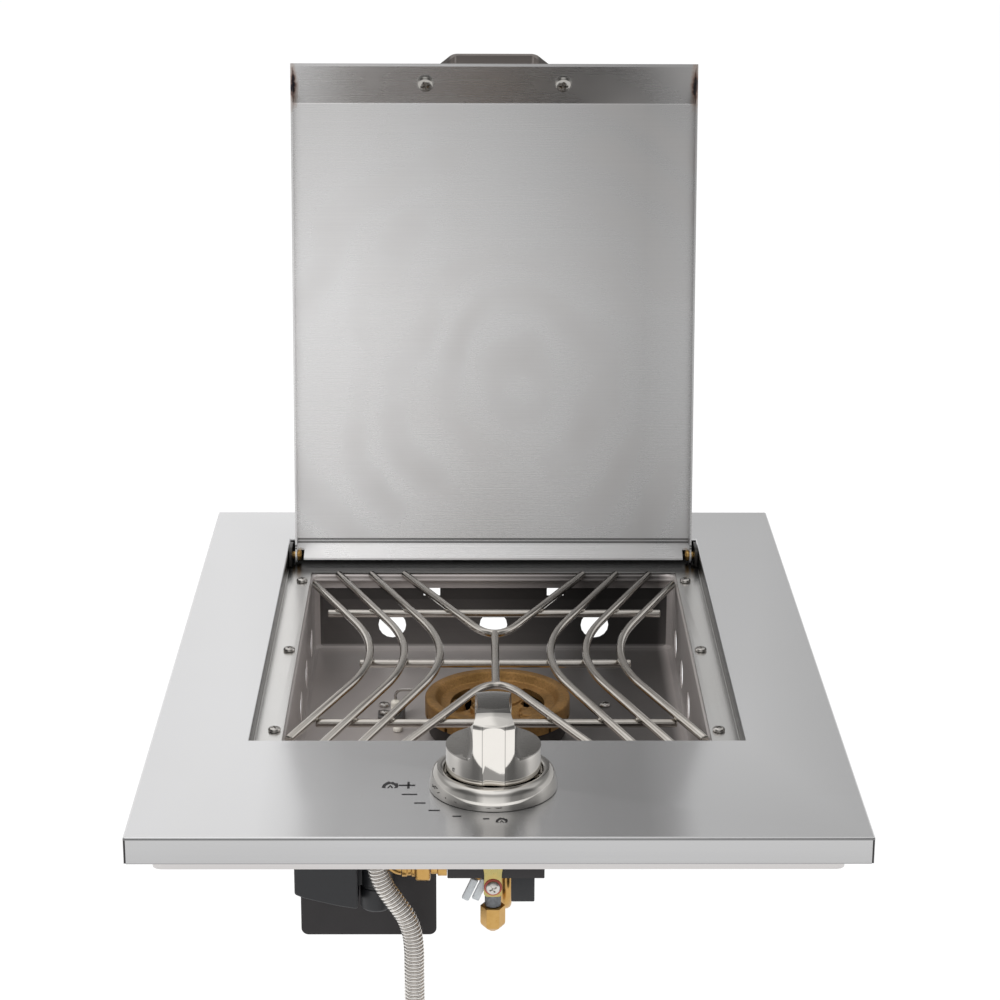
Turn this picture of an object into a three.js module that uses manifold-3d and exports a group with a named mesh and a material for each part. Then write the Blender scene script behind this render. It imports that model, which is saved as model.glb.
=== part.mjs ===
// Built in side burner: drop-in stainless panel with a hinged lid, a wire grate and one knob.
// All sizes in millimetres. While it is being drawn: X right, Y back, Z up, with zero at the
// middle of the panel's front top edge. The finished group is moved to the counter seat.
import * as THREE from 'three';
import { mergeVertices } from 'three/addons/utils/BufferGeometryUtils.js';
import Module from 'manifold-3d';

const wasm = await Module();
wasm.setup();

// Driving sizes
const panelWidth = 381;
const panelDepth = 525;
const sheet = 1.2;
const airGap = 0.3;
const seatDrop = 14.5;
const wireDiameter = 5;
const hoseDiameter = 11;
const lidOpenAngle = 98.7;
const knobDiameter = 50.2;

// Panel edge and its seat on the counter
const panelCorner = 5;
const panelBend = 2;
const seatWidth = 12;
const frameGap = 0.5;
const frameInset = seatWidth + frameGap;
const frameDepth = 22;
const frameFlange = 14;

// Recess and the ledge round the burner opening
const sideBorder = 54;
const frontBorder = 124.8;
const rearBorder = 59;
const ledgeDrop = 11;
const ledgeSide = 16;
const ledgeFront = 17.2;
const ledgeRear = 35;
const openingCorner = 3;
const recessHalf = panelWidth / 2 - sideBorder;
const recessFront = frontBorder;
const recessRear = panelDepth - rearBorder;
const openingHalf = recessHalf - ledgeSide;
const openingFront = recessFront + ledgeFront;
const openingRear = recessRear - ledgeRear;
const openingMiddle = (openingFront + openingRear) / 2;
const openingReach = (openingRear - openingFront) / 2;
const stemHole = 6;
// Shares of a bend's radius and smallest corner in any loop
const bendShare = 0.3;
const leastCorner = 0.4;
// How far a cutting tool runs past what it cuts, and how far two joined pieces run into each other
const beyond = 6;
const weldDepth = 1;

// Burner box
const boxSheet = 1;
const boxClearance = 1;
const boxRearClearance = 0.5;
const boxHalf = openingHalf - boxClearance;
const boxFront = openingFront + boxClearance;
const boxRear = openingRear - boxRearClearance;
const boxFloor = -65;
const boxBend = 3;
const boxCorner = 6;
const flangeSideGap = 3;
const flangeFrontGap = 3.2;
const flangeRearGap = 4;
const flangeBend = 1;
const boxFlangeHalf = recessHalf - flangeSideGap;
const boxFlangeFront = recessFront + flangeFrontGap;
const boxFlangeRear = recessRear - flangeRearGap;
const boxTop = -ledgeDrop - sheet - airGap;
const airHoleRadius = 9.2;
const rearHoleSpacing = 67.5;
const rearHoleHeight = -48.2;
const sideHoleLead = 5;
const sideHoleSpacing = 53.5;
const sideHoleCount = 3;
const sideHoleHeight = -50;
const slotCentre = 41;
const slotHeight = -24;
const slotWidth = 11;
const slotTall = 7;

// Screws: head radius, head height, shank radius, shank length
const ledgeScrew = { head: 3.6, high: 2.2, shank: 2, long: 9 };
const floorScrew = { head: 3.6, high: 2.2, shank: 2, long: 7 };
const smallScrew = { head: 3.1, high: 2, shank: 1.6, long: 5 };
const handleScrew = { head: 5.25, high: 3, shank: 2.4, long: 4 };
const clipScrewSize = { head: 3.9, high: 2.4, shank: 1.7, long: 7.4 };
const valveScrew = { head: 3.4, high: 2.2, shank: 1.8, long: 9 };
const screwSides = 8;
const crownShare = 0.35;
const crownRadiusShare = 0.7;
const recessArmShare = 0.5;
const recessSlotShare = 0.13;
const recessFloorShare = 0.35;

// Grate
const wire = wireDiameter / 2;
const wireSides = 8;
const grateHeight = -ledgeDrop + airGap + wire;
const weldShare = 0.9;
const crossHeight = grateHeight - wireDiameter * weldShare;
const rodRest = 4;
const grateShift = 0.5;
const grateMiddle = openingMiddle - grateShift;
const grateRear = openingRear + rodRest;
const grateFront = openingFront - rodRest;
const outerEndShares = [0.1869, 0.09];
const outerRear = openingRear - openingReach * outerEndShares[0];
const outerFront = openingFront + openingReach * outerEndShares[1];
const shoulderShares = [0.4152, 0.2353];
const shoulder = openingReach * shoulderShares[0];
const apexShoulder = openingReach * shoulderShares[1];
// Side rods: shares of the opening's half width for the corner, rear end and front end, then end depths
const sideRods = [
  { shares: [0.1925, 0.6739, 0.6473], rear: grateRear, front: grateFront },
  { shares: [0.3776, 0.8556, 0.8299], rear: grateRear, front: grateFront },
  { shares: [0.5577, 1.0241, 1.0158], rear: outerRear, front: outerFront },
];
const rearRodShare = 0.4913;
const rearCornerShare = 0.128;
const rearRodCorner = openingMiddle + openingReach * rearCornerShare;
const frontRodShare = 0.4481;
const frontCornerShare = 0.2526;
const frontRodCorner = openingMiddle - openingReach * frontCornerShare;
const apexShares = [0.2318, 0.3564];
const apexRear = openingMiddle + openingReach * apexShares[0];
const apexFront = openingMiddle - openingReach * apexShares[1];
// Cross bars: share of the opening's half depth behind its middle, and share of its half width
const crossPlaceShares = [0.5363, -0.0727, -0.7232];
const crossBarShares = [0.8838, 0.6855, 0.8631];

// Burner
const burnerX = 1.5;
const burnerShift = 1.5;
const burnerY = openingMiddle + burnerShift;
const ledgeScrewEdge = 5.3;
const ledgeScrewX = openingHalf + ledgeScrewEdge;
const ledgeScrewShare = 0.8616;
const ledgeScrewSpacing = openingReach * ledgeScrewShare;
const ledgeScrewRows = [burnerY - ledgeScrewSpacing, burnerY, burnerY + ledgeScrewSpacing];
const floorScrewX = 69.7;
const floorScrewLead = 42;
const floorScrewY = burnerY + floorScrewLead;
const headTop = -40;
const headRadius = 44.5;
const headBottom = -52;
const bandHeight = -45;
const hubRadius = 15.5;
const rimWidth = 6.5;
const portCount = 12;
const portWidth = 2.2;
const portHeight = 3;
const headOverhang = 2;
const bowlRadius = headRadius - headOverhang;
const bowlWall = 3;
const neckRadius = 20;
const mixerHeight = -80;
const mixerRadius = 11;
const mixerWall = 1.2;
const mixerInset = 11;
const mixerStart = boxFront + mixerInset;
const shutterGap = 3;
const shutterStart = mixerStart + shutterGap;
const shutterLength = 15;
const windowLength = 9;
const windowWidth = 12;
const mixerMouth = 3.6;
const mixerReach = 5;
const neckFloor = 4;
const neckBottom = mixerHeight - mixerRadius - neckFloor;
const headFloor = 3;
const headSkirt = 4.5;
const rimBevel = 1.4;
const bandBevel = 1;
const bandWidth = 9;
const hubSlope = 3;
const hubRise = 2.4;
const openingAngles = [0.55, -0.95];
const openingGap = 0.6;
const airRadius = headRadius - rimWidth - bandWidth;
const fan = { x: 12, y: -24, radius: 16, lift: 4, thick: 5 };
const fanAngles = [0.3, 1.35];
const bowlBevel = 4;
const neckBevel = 3;
const orifice = { bore: 0.8, hex: 6, front: 10, rear: 2, spigot: 3, reach: 5 };
const supplyRadius = 3.2;
const supplyLead = 15.7;
// Bend of the supply tube: distance behind the inlet row and height over the mixer tube
const supplyBend = [[0, 22.7], [0.6, 13], [5, 4.5], [13.5, 0.5], [24, 0]];
const supplyBore = 2;
// Small round bosses on the head: x and y from the burner's axis
const headBosses = [[4.7 - airRadius, -8], [-12.5, -13.5]];
const bossRadius = 4.2;
const bossTop = -42.5;

// Igniter electrode
const electrodePlace = [-63.5, 26];
const electrodeX = burnerX + electrodePlace[0];
const electrodeY = burnerY + electrodePlace[1];
const ceramicRadius = 3;
const ceramicLength = 10.6;
const bushPlace = [-61.5, 2];
const bushX = burnerX + bushPlace[0];
const bushY = burnerY + bushPlace[1];
const bushHeight = 3;
const tipRadius = 0.9;
// Points of the bent tip, from the ceramic's top
const tipRoute = [[0, 0, 0], [0, 0, 3.4], [2, -0.6, 6], [8, -2.4, 7.4], [15.5, -4.6, 8]];
const electrodeFoot = { left: 11, right: 6, half: 6, tab: 9 };
const bracketScrewOffset = 7;

// Lid, measured from the hinge pin: s forward, h up, lid shut
const pinInset = 16;
const pinY = recessRear - pinInset;
const pinHeight = -5.7;
const pinRadius = 2.5;
const pinHead = { radius: 3.6, neck: 2.9, thick: 2.5, bevel: 0.6 };
const lidSideGap = 4.2;
const lidFrontGap = 3.2;
const lidHalf = recessHalf - lidSideGap;
const lidRim = -4.2;
const lidPlate = 10;
const lidTop = lidPlate + sheet;
const lidBend = 2;
const lidCorner = 2;
const lidStrip = 22.4;
const lidInnerBend = 0.8;
const lidFrontLow = pinY - recessFront - lidFrontGap;
const lidFrontTop = lidFrontLow - lidStrip;
const lidRearTop = 7.3;
const lidRearLow = -1.15;
const stripTilt = Math.atan2(lidPlate - lidRim, lidFrontLow - lidFrontTop);
const stripMiddle = [-(lidFrontLow + lidFrontTop) / 2, (lidPlate + lidRim) / 2];
const pinEar = 4.9;
const notchSkin = 0.05;
const pinNotch = { wide: 4.6, forward: 6, back: 3.4, low: 4.4, high: 4.6 };
const handleSpacing = 90;
const handleFoot = 106;
const handleBase = 71;
const handleGrip = 54;
const handleRise = 22;
const handleStrip = 2.5;
const handleWidth = 16;
const leanShare = 0.75;

// Hinge brackets
const bracketThick = 2;
const bracketHalf = 12;
const bracketFront = pinY - bracketHalf;
const bracketRear = pinY + bracketHalf;
const bracketTop = 4.8;
const bracketRound = 6;

// Knob and bezel
const knobX = -2.7;
const knobY = 64.5;
const knobRadius = knobDiameter / 2;
const knobBottom = 12;
const knobTop = 47;
const knobEdge = 43.8;
const ridgeHalf = 9.6;
const scoopRadius = 17;
const scoopHeight = 46;
const knobFlat = 24.4;
const knobTravel = 3;
const bezelRadius = 34;
const bezelHeight = 11;
const bezelFloor = 3;
const bezelBore = 8;
// Bezel section: out from its bore and down from its top, then in from its rim and down
const bezelLip = [[0, 1.4], [0.7, 0.4], [2, 0]];
const bezelRim = [[3.6, 0.5], [1.7, 2.2], [0.6, 5], [0, 8]];
const bezelGap = 1.1;
// Knob section: in from its radius and down from the edge or from the top
const knobRound = [[0, 2.4], [0.5, 0.9], [1.8, 0]];
const knobCrown = [[7, 1.6], [15, 0.4]];
const knobBevel = 0.8;
const stemClearance = 1;
const stemRadius = 3;
const stemFlat = 2.3;
const stemBottom = -20;
const stemTop = 29.4;

// Valve and the pieces that hang under the panel
const valveFlange = { left: 20, front: 9, rear: 15, low: 6 };
const valveBlock = { left: 10.5, right: 10.7, front: 5.5, rear: 15, low: 46 };
const valveScrewOffset = 14;
const plugRadius = 5;
const plugTop = -8;
const plugBottom = -38;
const neckTailRadius = 4.1;
const neckTailBottom = -61.7;
const collarRadius = 4.4;
const collarBottom = -69.7;
const capBottom = -85;
const capTip = 3.5;
const capTipRise = 1.6;
const capRadius = 6.75;
const capBevel = 0.5;
const capRise = 3.4;
const rowY = 74;
const rowHeight = -52.6;
const rowBore = 2;
const barFront = 56;
const barThick = 2;
const barLeg = 3;
const barTop = -41;
const barBottom = -50.3;
const barLeft = -27;
const barRight = 24.7;

// Pieces of the inlet row and the block above it
const rowEnds = { stub: -27.4, step: -32.5, tail: -36.1, nut: -44.3, barrel: -51.6 };
const rowRadius = { tail: 3.4, collar: 4.4, nut: 8, barrel: 4.9 };
const inletArm = { wide: 6, half: 5, drop: 5.4 };
const stubRadius = 4;
const elbowX = -57;
const elbowBend = 5;
const elbowRadius = 4;
const inletBlockLow = -13.7;
const inletSides = { left: -73, right: -50, front: 52, rear: 80 };
const hosePort = 4;
const portDepth = 8;
const gland = { bore: 4, foot: 7, radius: 8, bevel: 1.1 };
const clipScrewHeight = -54.6;
const clipHoleFloor = 2;
const clipHalf = 5.35;
const clipTail = 5.8;
const clipRise = 4;
const supplyOffset = 7.1;
const batteryX = -66;
const batteryY = 86;
const batteryTop = -66;
const holderRadius = 9.6;
const holderWeb = { lap: 2.5, half: 5.5 };
const battery = { radius: 8.8, low: -81.5, bevel: 1.2 };
const housing = { left: -109.5, right: -75.5, top: -30, low: -75.5, corner: 5.5, front: 70, rear: 93 };
const plateY = 96;
const plate = { left: -108, right: -33.5, low: -104, round: 4, flange: 12 };
const switchBox = { left: 7, right: 19.5, front: 58.3, rear: 69.5, low: -65.2 };
const connectorHalf = [2, 1.5, 6.5];
const connectorTilt = 0.42;
const connectorPlaces = [-15, -9.6];
const connectorY = 58.2;
const connectorDrop = 7.1;
const connectorZ = barBottom - connectorDrop;

// Hose: bore and ribs, and the way it hangs
const hoseRadius = hoseDiameter / 2;
const ribPitch = 2.05;
const ribSides = 8;
const valleyShare = 0.84;
const boreShare = 0.62;
const ribFillShare = 0.55;
const boreStep = 5;
const hoseTop = -26;
const hoseEnd = {
  bore: 3.4, radius: 7.2, bevel: 1, nutRadius: 10.6, nutTop: 8, nutLow: 22, mouth: 7, mouthTop: 14,
};
// Centreline of the hose, hand placed: x, y and z
const hoseRoute = [
  [-65.2, 60, -26], [-65.2, 60, -37], [-64.05, 60, -47.1], [-60.65, 60, -56.7], [-55.2, 60, -65.3],
  [-49.7, 60, -73.9], [-46.3, 60, -83.5], [-45.1, 60, -93.6], [-45, 60, -106], [-44.9, 60, -119],
  [-44.7, 60, -133], [-44.2, 60, -148], [-43.3, 60, -164], [-41.8, 60, -180], [-40.6, 60, -195],
  [-40.1, 60, -208], [-40, 60, -220], [-40, 60, -231],
];

function look(color, roughness, metalness) {
  return new THREE.MeshStandardMaterial({ color, roughness, metalness });
}
const brushedSteel = look('#c4c0be', 0.36, 1);
const darkSteel = look('#5a5656', 0.5, 0.8);
const polishedNickel = look('#d9d2c8', 0.14, 1);
const wireSteel = look('#b9b6b0', 0.25, 1);
const castBrass = look('#8a6a3c', 0.55, 0.7);
const brightBrass = look('#c9a468', 0.35, 0.9);
const blackSteel = look('#2b2a2c', 0.5, 0.4);
const blackPlastic = look('#1e1d1f', 0.6, 0);
const whiteCeramic = look('#e6e2da', 0.5, 0);
const greyZinc = look('#8d9094', 0.45, 0.8);
const yellowZinc = look('#c7a55a', 0.4, 0.8);
const redPaint = look('#b5544a', 0.5, 0.3);

// Turns a geometry into a closed solid with its faces outward
function solid(geometry) {
  let body = geometry.clone();
  body.deleteAttribute('normal');
  body.deleteAttribute('uv');
  body = mergeVertices(body, 1e-4);
  const index = body.index.array;
  const place = body.attributes.position;
  const kept = [];
  let volume = 0;
  const corner = [new THREE.Vector3(), new THREE.Vector3(), new THREE.Vector3()];
  for (let i = 0; i < index.length; i += 3) {
    const [a, b, c] = [index[i], index[i + 1], index[i + 2]];
    if (a === b || b === c || a === c) continue;
    kept.push(a, b, c);
    corner.forEach((point, k) => point.fromBufferAttribute(place, index[i + k]));
    volume += corner[0].dot(corner[1].clone().cross(corner[2]));
  }
  if (volume < 0) for (let i = 0; i < kept.length; i += 3) [kept[i], kept[i + 1]] = [kept[i + 1], kept[i]];
  return new wasm.Manifold(new wasm.Mesh({
    numProp: 3, vertProperties: new Float32Array(place.array), triVerts: new Uint32Array(kept),
  }));
}

// Turns a solid back into a geometry with flat facets
function shell(body) {
  const mesh = body.getMesh();
  const geometry = new THREE.BufferGeometry();
  const points = new Float32Array(mesh.numVert * 3);
  for (let i = 0; i < mesh.numVert; i += 1) {
    for (let k = 0; k < 3; k += 1) points[i * 3 + k] = mesh.vertProperties[i * mesh.numProp + k];
  }
  geometry.setAttribute('position', new THREE.BufferAttribute(points, 3));
  geometry.setIndex([...mesh.triVerts]);
  return geometry;
}

function cut(geometry, ...tools) {
  return shell(tools.reduce((body, tool) => body.subtract(solid(tool)), solid(geometry)));
}

function join(first, ...others) {
  return shell(others.reduce((body, other) => body.add(solid(other)), solid(first)));
}

function mirrored(geometry) {
  return geometry.clone().scale(-1, 1, 1);
}

// Closed profile of [radius, height] points turned about Z
function turned(profile, sides = 32) {
  const points = [...profile, profile[0]].map(([radius, height]) => new THREE.Vector2(radius, height));
  return new THREE.LatheGeometry(points, sides).rotateX(Math.PI / 2);
}

function upright(radius, low, high, sides = 32) {
  return turned([[0, low], [radius, low], [radius, high], [0, high]], sides);
}

// Round bar along X or Y
function barX(radius, from, to, sides = 24) {
  return upright(radius, from, to, sides).rotateY(Math.PI / 2);
}
function barY(radius, from, to, sides = 24) {
  return upright(radius, -to, -from, sides).rotateX(Math.PI / 2);
}

function block(x0, x1, y0, y1, z0, z1) {
  return new THREE.BoxGeometry(x1 - x0, y1 - y0, z1 - z0).translate((x0 + x1) / 2, (y0 + y1) / 2, (z0 + z1) / 2);
}

// One level rounded rectangle: the same number of points whatever its size
const loopSteps = 3;
function loop(half, front, rear, height, radius) {
  const points = [];
  const corners = [[half, rear, 0], [-half, rear, 1], [-half, front, 2], [half, front, 3]];
  for (const [x, y, quarter] of corners) {
    const cx = x - Math.sign(x) * radius;
    const cy = y === rear ? y - radius : y + radius;
    for (let i = 0; i <= loopSteps; i += 1) {
      const turn = (quarter + i / loopSteps) * Math.PI / 2;
      points.push([cx + radius * Math.cos(turn), cy + radius * Math.sin(turn), height]);
    }
  }
  return points;
}

// The same with a corner that shrinks as the loop is drawn further in
function inset(half, front, rear, height, corner, by) {
  return loop(half - by, front + by, rear - by, height, Math.max(corner - by, leastCorner));
}

// Skin over a row of loops, either closed into a ring or capped at both ends
function skin(loops, ring) {
  const count = loops[0].length;
  const points = loops.flat();
  const index = [];
  const bands = ring ? loops.length : loops.length - 1;
  for (let i = 0; i < bands; i += 1) {
    const a = i * count;
    const b = ((i + 1) % loops.length) * count;
    for (let k = 0; k < count; k += 1) {
      const next = (k + 1) % count;
      index.push(a + k, b + k, b + next, a + k, b + next, a + next);
    }
  }
  if (!ring) {
    for (const [start, flip] of [[0, false], [(loops.length - 1) * count, true]]) {
      const own = points.slice(start, start + count);
      const middle = [0, 1, 2].map((axis) => own.reduce((sum, point) => sum + point[axis], 0) / count);
      points.push(middle);
      for (let k = 0; k < count; k += 1) {
        const pair = [start + k, start + (k + 1) % count];
        if (flip) pair.reverse();
        index.push(points.length - 1, pair[0], pair[1]);
      }
    }
  }
  const geometry = new THREE.BufferGeometry();
  geometry.setAttribute('position', new THREE.BufferAttribute(new Float32Array(points.flat()), 3));
  geometry.setIndex(index);
  return shell(solid(geometry));
}

// Round rod or tube along a path
function rod(path, radius, steps, sides = wireSides, bore = 0) {
  const shape = new THREE.Shape();
  shape.absarc(0, 0, radius, 0, Math.PI * 2);
  if (bore > 0) {
    const hole = new THREE.Path();
    hole.absarc(0, 0, bore, 0, Math.PI * 2, true);
    shape.holes.push(hole);
  }
  return new THREE.ExtrudeGeometry(shape, {
    extrudePath: path, steps, curveSegments: sides / 2, bevelEnabled: false,
  });
}

// Two straight legs joined by a bend at a corner point
function bentPath(start, corner, end, reach) {
  const path = new THREE.CurvePath();
  const first = corner.clone().add(start.clone().sub(corner).setLength(reach));
  const last = corner.clone().add(end.clone().sub(corner).setLength(reach));
  path.add(new THREE.LineCurve3(start, first));
  path.add(new THREE.QuadraticBezierCurve3(first, corner, last));
  path.add(new THREE.LineCurve3(last, end));
  return path;
}

// Pan head screw with a cross recess: its seat at zero, head up, shank down
function screw(size, sides = screwSides) {
  const { head, high, shank, long } = size;
  const body = turned([
    [0, -long], [shank, -long], [shank, 0], [head, 0], [head, high - high * crownShare],
    [head * crownRadiusShare, high], [0, high],
  ], sides);
  const slotHalf = head * recessSlotShare;
  const arm = head * recessArmShare;
  const bottom = high * recessFloorShare;
  const top = high + beyond;
  const slot = block(-arm, arm, -slotHalf, slotHalf, bottom, top);
  return cut(body, slot, slot.clone().rotateZ(Math.PI / 2));
}

const group = new THREE.Group();
group.name = 'side_burner';
function add(name, geometry, material) {
  const body = shell(solid(geometry)).translate(0, -panelDepth / 2, seatDrop);
  const flat = body.toNonIndexed();
  flat.computeVertexNormals();
  const mesh = new THREE.Mesh(flat, material);
  mesh.name = name;
  group.add(mesh);
}

// Folded panel: ledge, recess wall, top, outer flange, counter seat and back again
function topPanel() {
  const half = panelWidth / 2;
  const outer = (by, height) => inset(half, 0, panelDepth, height, panelCorner, by);
  const recess = (grow, height) => inset(recessHalf, recessFront, recessRear, height, openingCorner, -grow);
  const opening = (height) => loop(openingHalf, openingFront, openingRear, height, openingCorner);
  const soft = bendShare * panelBend;
  const loops = [
    opening(-ledgeDrop), recess(0, -ledgeDrop), recess(0, -panelBend), recess(soft, -soft), recess(panelBend, 0),
    outer(panelBend, 0), outer(soft, -soft), outer(0, -panelBend), outer(0, sheet - seatDrop),
    outer(soft, -seatDrop), outer(seatWidth, -seatDrop), outer(seatWidth, sheet - seatDrop),
    outer(sheet, sheet - seatDrop), outer(sheet, -sheet),
    recess(sheet, -sheet), recess(sheet, -ledgeDrop - sheet), opening(-ledgeDrop - sheet),
  ];
  const holes = [upright(stemHole, -2 * sheet, sheet).translate(knobX, knobY, 0)];
  for (const side of [-1, 1]) {
    const slot = upright(valveScrew.shank + airGap, -2 * sheet, sheet, 16);
    holes.push(slot.translate(knobX + side * valveScrewOffset, knobY, 0));
    for (const row of ledgeScrewRows) {
      const hole = upright(ledgeScrew.shank + airGap, -ledgeDrop - 2 * sheet, sheet - ledgeDrop, 8);
      holes.push(hole.translate(side * ledgeScrewX, row, 0));
    }
  }
  return cut(skin(loops, true), ...holes);
}

// Angle ring under the panel, just inside the seat
function supportFrame() {
  const half = panelWidth / 2 - frameInset;
  const at = (by, height) => inset(half, frameInset, panelDepth - frameInset, height, panelCorner, by);
  const top = -sheet - airGap;
  return skin([
    at(0, top), at(0, top - frameDepth), at(sheet, top - frameDepth), at(sheet, top - sheet),
    at(frameFlange, top - sheet), at(frameFlange, top),
  ], true);
}

function burnerBox() {
  const inner = (by, height) => inset(boxHalf, boxFront, boxRear, height, boxCorner, by);
  const edge = (height) => loop(boxFlangeHalf, boxFlangeFront, boxFlangeRear, height, boxCorner);
  const soft = bendShare * boxBend;
  const body = skin([
    inner(boxBend, boxFloor), inner(soft, boxFloor + soft), inner(0, boxFloor + boxBend),
    inner(0, boxTop - boxSheet), inner(-boxSheet, boxTop), edge(boxTop), edge(boxTop - boxSheet),
    inner(-boxSheet, boxTop - boxSheet - flangeBend),
    inner(-boxSheet, boxFloor + boxBend), inner(soft - boxSheet, boxFloor + soft - boxSheet),
    inner(boxBend, boxFloor - boxSheet),
  ], false);
  const floorHole = (radius, x, y, sides = 8) => (
    upright(radius, boxFloor - beyond, boxFloor + beyond, sides).translate(x, y, 0)
  );
  const holes = [
    floorHole(neckRadius + 2 * airGap, burnerX, burnerY, 24),
    floorHole(smallScrew.shank + airGap, electrodeX - bracketScrewOffset, electrodeY),
  ];
  for (const x of [-rearHoleSpacing, 0, rearHoleSpacing]) {
    holes.push(barY(airHoleRadius, boxRear - beyond, boxRear + beyond, 16).translate(x, 0, rearHoleHeight));
  }
  for (const side of [-1, 1]) {
    const slot = block(-slotWidth / 2, slotWidth / 2, -beyond, beyond, -slotTall / 2, slotTall / 2);
    holes.push(slot.translate(side * slotCentre, boxRear, slotHeight));
    for (const row of ledgeScrewRows) {
      const hole = upright(ledgeScrew.shank + airGap, boxTop - beyond, boxTop + beyond, 8);
      holes.push(hole.translate(side * ledgeScrewX, row, 0));
    }
    holes.push(floorHole(floorScrew.shank + airGap, side * floorScrewX, floorScrewY));
  }
  for (let i = 0; i < sideHoleCount; i += 1) {
    const hole = barX(airHoleRadius, -boxHalf - beyond, boxHalf + beyond, 16);
    holes.push(hole.translate(0, burnerY + sideHoleLead + i * sideHoleSpacing, sideHoleHeight));
  }
  return cut(body, ...holes);
}

function cookingGrate() {
  const at = (x, y) => new THREE.Vector3(x, y, grateHeight);
  const rods = [];
  for (const { shares, rear, front } of sideRods) {
    const [corner, rearX, frontX] = shares.map((share) => share * openingHalf);
    const right = rod(bentPath(at(rearX, rear), at(corner, grateMiddle), at(frontX, front), shoulder), wire, 13);
    rods.push(right, mirrored(right));
  }
  const vees = [[rearRodShare, grateRear, rearRodCorner], [frontRodShare, grateFront, frontRodCorner]];
  for (const [share, end, corner] of vees) {
    const half = share * openingHalf;
    rods.push(rod(bentPath(at(-half, end), at(0, corner), at(half, end), apexShoulder), wire, 13));
  }
  rods.push(barY(wire, apexFront, apexRear, wireSides).translate(0, 0, grateHeight));
  crossPlaceShares.forEach((share, i) => {
    const half = crossBarShares[i] * openingHalf;
    const bar = barX(wire, -half, half, wireSides);
    rods.push(bar.translate(0, openingMiddle + share * openingReach, crossHeight));
  });
  return join(...rods);
}

// Brass casting: rim, sloping band and hub, with a dark opening each side of the hub
function burnerHead() {
  const inside = headRadius - rimWidth;
  const body = turned([
    [0, headBottom + headFloor], [headRadius - headSkirt, headBottom + headFloor],
    [headRadius - headSkirt, headBottom], [headRadius, headBottom],
    [headRadius, headTop - rimBevel], [headRadius - rimBevel, headTop],
    [inside + bandBevel, headTop], [inside, headTop - bandBevel], [inside - 2 * bandBevel, bandHeight + bandBevel],
    [inside - 3 * bandBevel, bandHeight], [hubRadius + 2 * hubSlope, bandHeight], [hubRadius, bandHeight + hubRise],
    [hubRadius - bandBevel, headTop - bandBevel], [hubRadius - hubSlope, headTop - bandBevel],
    [0, headTop - bandBevel],
  ], 28);
  const openings = [];
  for (const side of [-1, 1]) {
    const hole = new THREE.Shape();
    hole.absarc(0, 0, airRadius, openingAngles[0], openingAngles[1], true);
    hole.absarc(0, 0, hubRadius + openingGap, openingAngles[1], openingAngles[0], false);
    const depth = headTop - headBottom + 2 * beyond;
    const pocket = new THREE.ExtrudeGeometry(hole, { depth, bevelEnabled: false, curveSegments: 10 });
    pocket.translate(0, 0, headBottom - beyond);
    openings.push(side > 0 ? pocket : mirrored(pocket));
  }
  for (let i = 0; i < portCount; i += 1) {
    const half = portWidth / 2;
    const deep = headRadius - 2 * headSkirt;
    const port = block(deep, headRadius + beyond, -half, half, headBottom - beyond, headBottom + portHeight);
    openings.push(port.rotateZ((2 * i + 1) * Math.PI / portCount));
  }
  const onBosses = (radius, low, high, sides) => (
    headBosses.map(([x, y]) => upright(radius, low, high, sides).translate(x, y, 0))
  );
  const bosses = onBosses(bossRadius, headBottom + headFloor, bossTop, 20);
  const tongue = new THREE.Shape();
  tongue.absarc(0, 0, fan.radius, ...fanAngles, false);
  tongue.lineTo(0, 0);
  bosses.push(new THREE.ExtrudeGeometry(tongue, { depth: fan.thick, bevelEnabled: false, curveSegments: 6 })
    .translate(fan.x, fan.y, headBottom + fan.lift));
  const whole = join(cut(body, ...openings), ...bosses);
  const tapFloor = bossTop - smallScrew.long - 2 * airGap;
  const taps = onBosses(smallScrew.shank + airGap, tapFloor, bossTop + beyond, 8);
  return cut(whole, ...taps).translate(burnerX, burnerY, 0);
}

function burnerBowl() {
  const seat = boxFloor + airGap;
  const rim = headBottom - airGap;
  const body = turned([
    [0, neckBottom], [neckRadius - neckBevel, neckBottom], [neckRadius, neckBottom + neckBevel], [neckRadius, seat],
    [bowlRadius - bowlBevel, seat], [bowlRadius, seat + bowlBevel], [bowlRadius, rim], [bowlRadius - bowlWall, rim],
    [bowlRadius - bowlWall, seat + bowlWall + neckBevel], [bowlRadius - bowlWall - neckBevel, seat + bowlWall],
    [neckRadius - bowlWall, seat + bowlWall],
    [neckRadius - bowlWall, neckBottom + bowlWall], [0, neckBottom + bowlWall],
  ], 24);
  const mouth = barY(mixerRadius + airGap, -neckRadius - beyond, 0, 28).translate(0, 0, mixerHeight);
  return cut(body, mouth).translate(burnerX, burnerY, 0);
}

// Mixer tube with a drilled front end and two air windows
function mixerTube() {
  const end = burnerY - neckRadius + mixerReach;
  const inside = mixerRadius - mixerWall;
  const body = turned([
    [mixerMouth, -mixerStart], [mixerRadius, -mixerStart], [mixerRadius, -end], [inside, -end],
    [inside, -mixerStart - mixerWall], [mixerMouth, -mixerStart - mixerWall],
  ], 20).rotateX(Math.PI / 2);
  return cut(body, airWindow()).translate(burnerX, 0, mixerHeight);
}

// Cutter for the pair of air windows, the same in the tube and in its shutter
function airWindow() {
  const from = shutterStart + (shutterLength - windowLength) / 2;
  const [half, far] = [windowWidth / 2, 2 * mixerRadius];
  return block(-far, far, from, from + windowLength, -half, half);
}

function airShutter() {
  const inside = mixerRadius + airGap;
  const outside = inside + mixerWall;
  const [front, rear] = [-shutterStart, -shutterStart - shutterLength];
  const ring = turned([[inside, front], [outside, front], [outside, rear], [inside, rear]], 20);
  return cut(ring.rotateX(Math.PI / 2), airWindow()).translate(burnerX, 0, mixerHeight);
}

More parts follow.
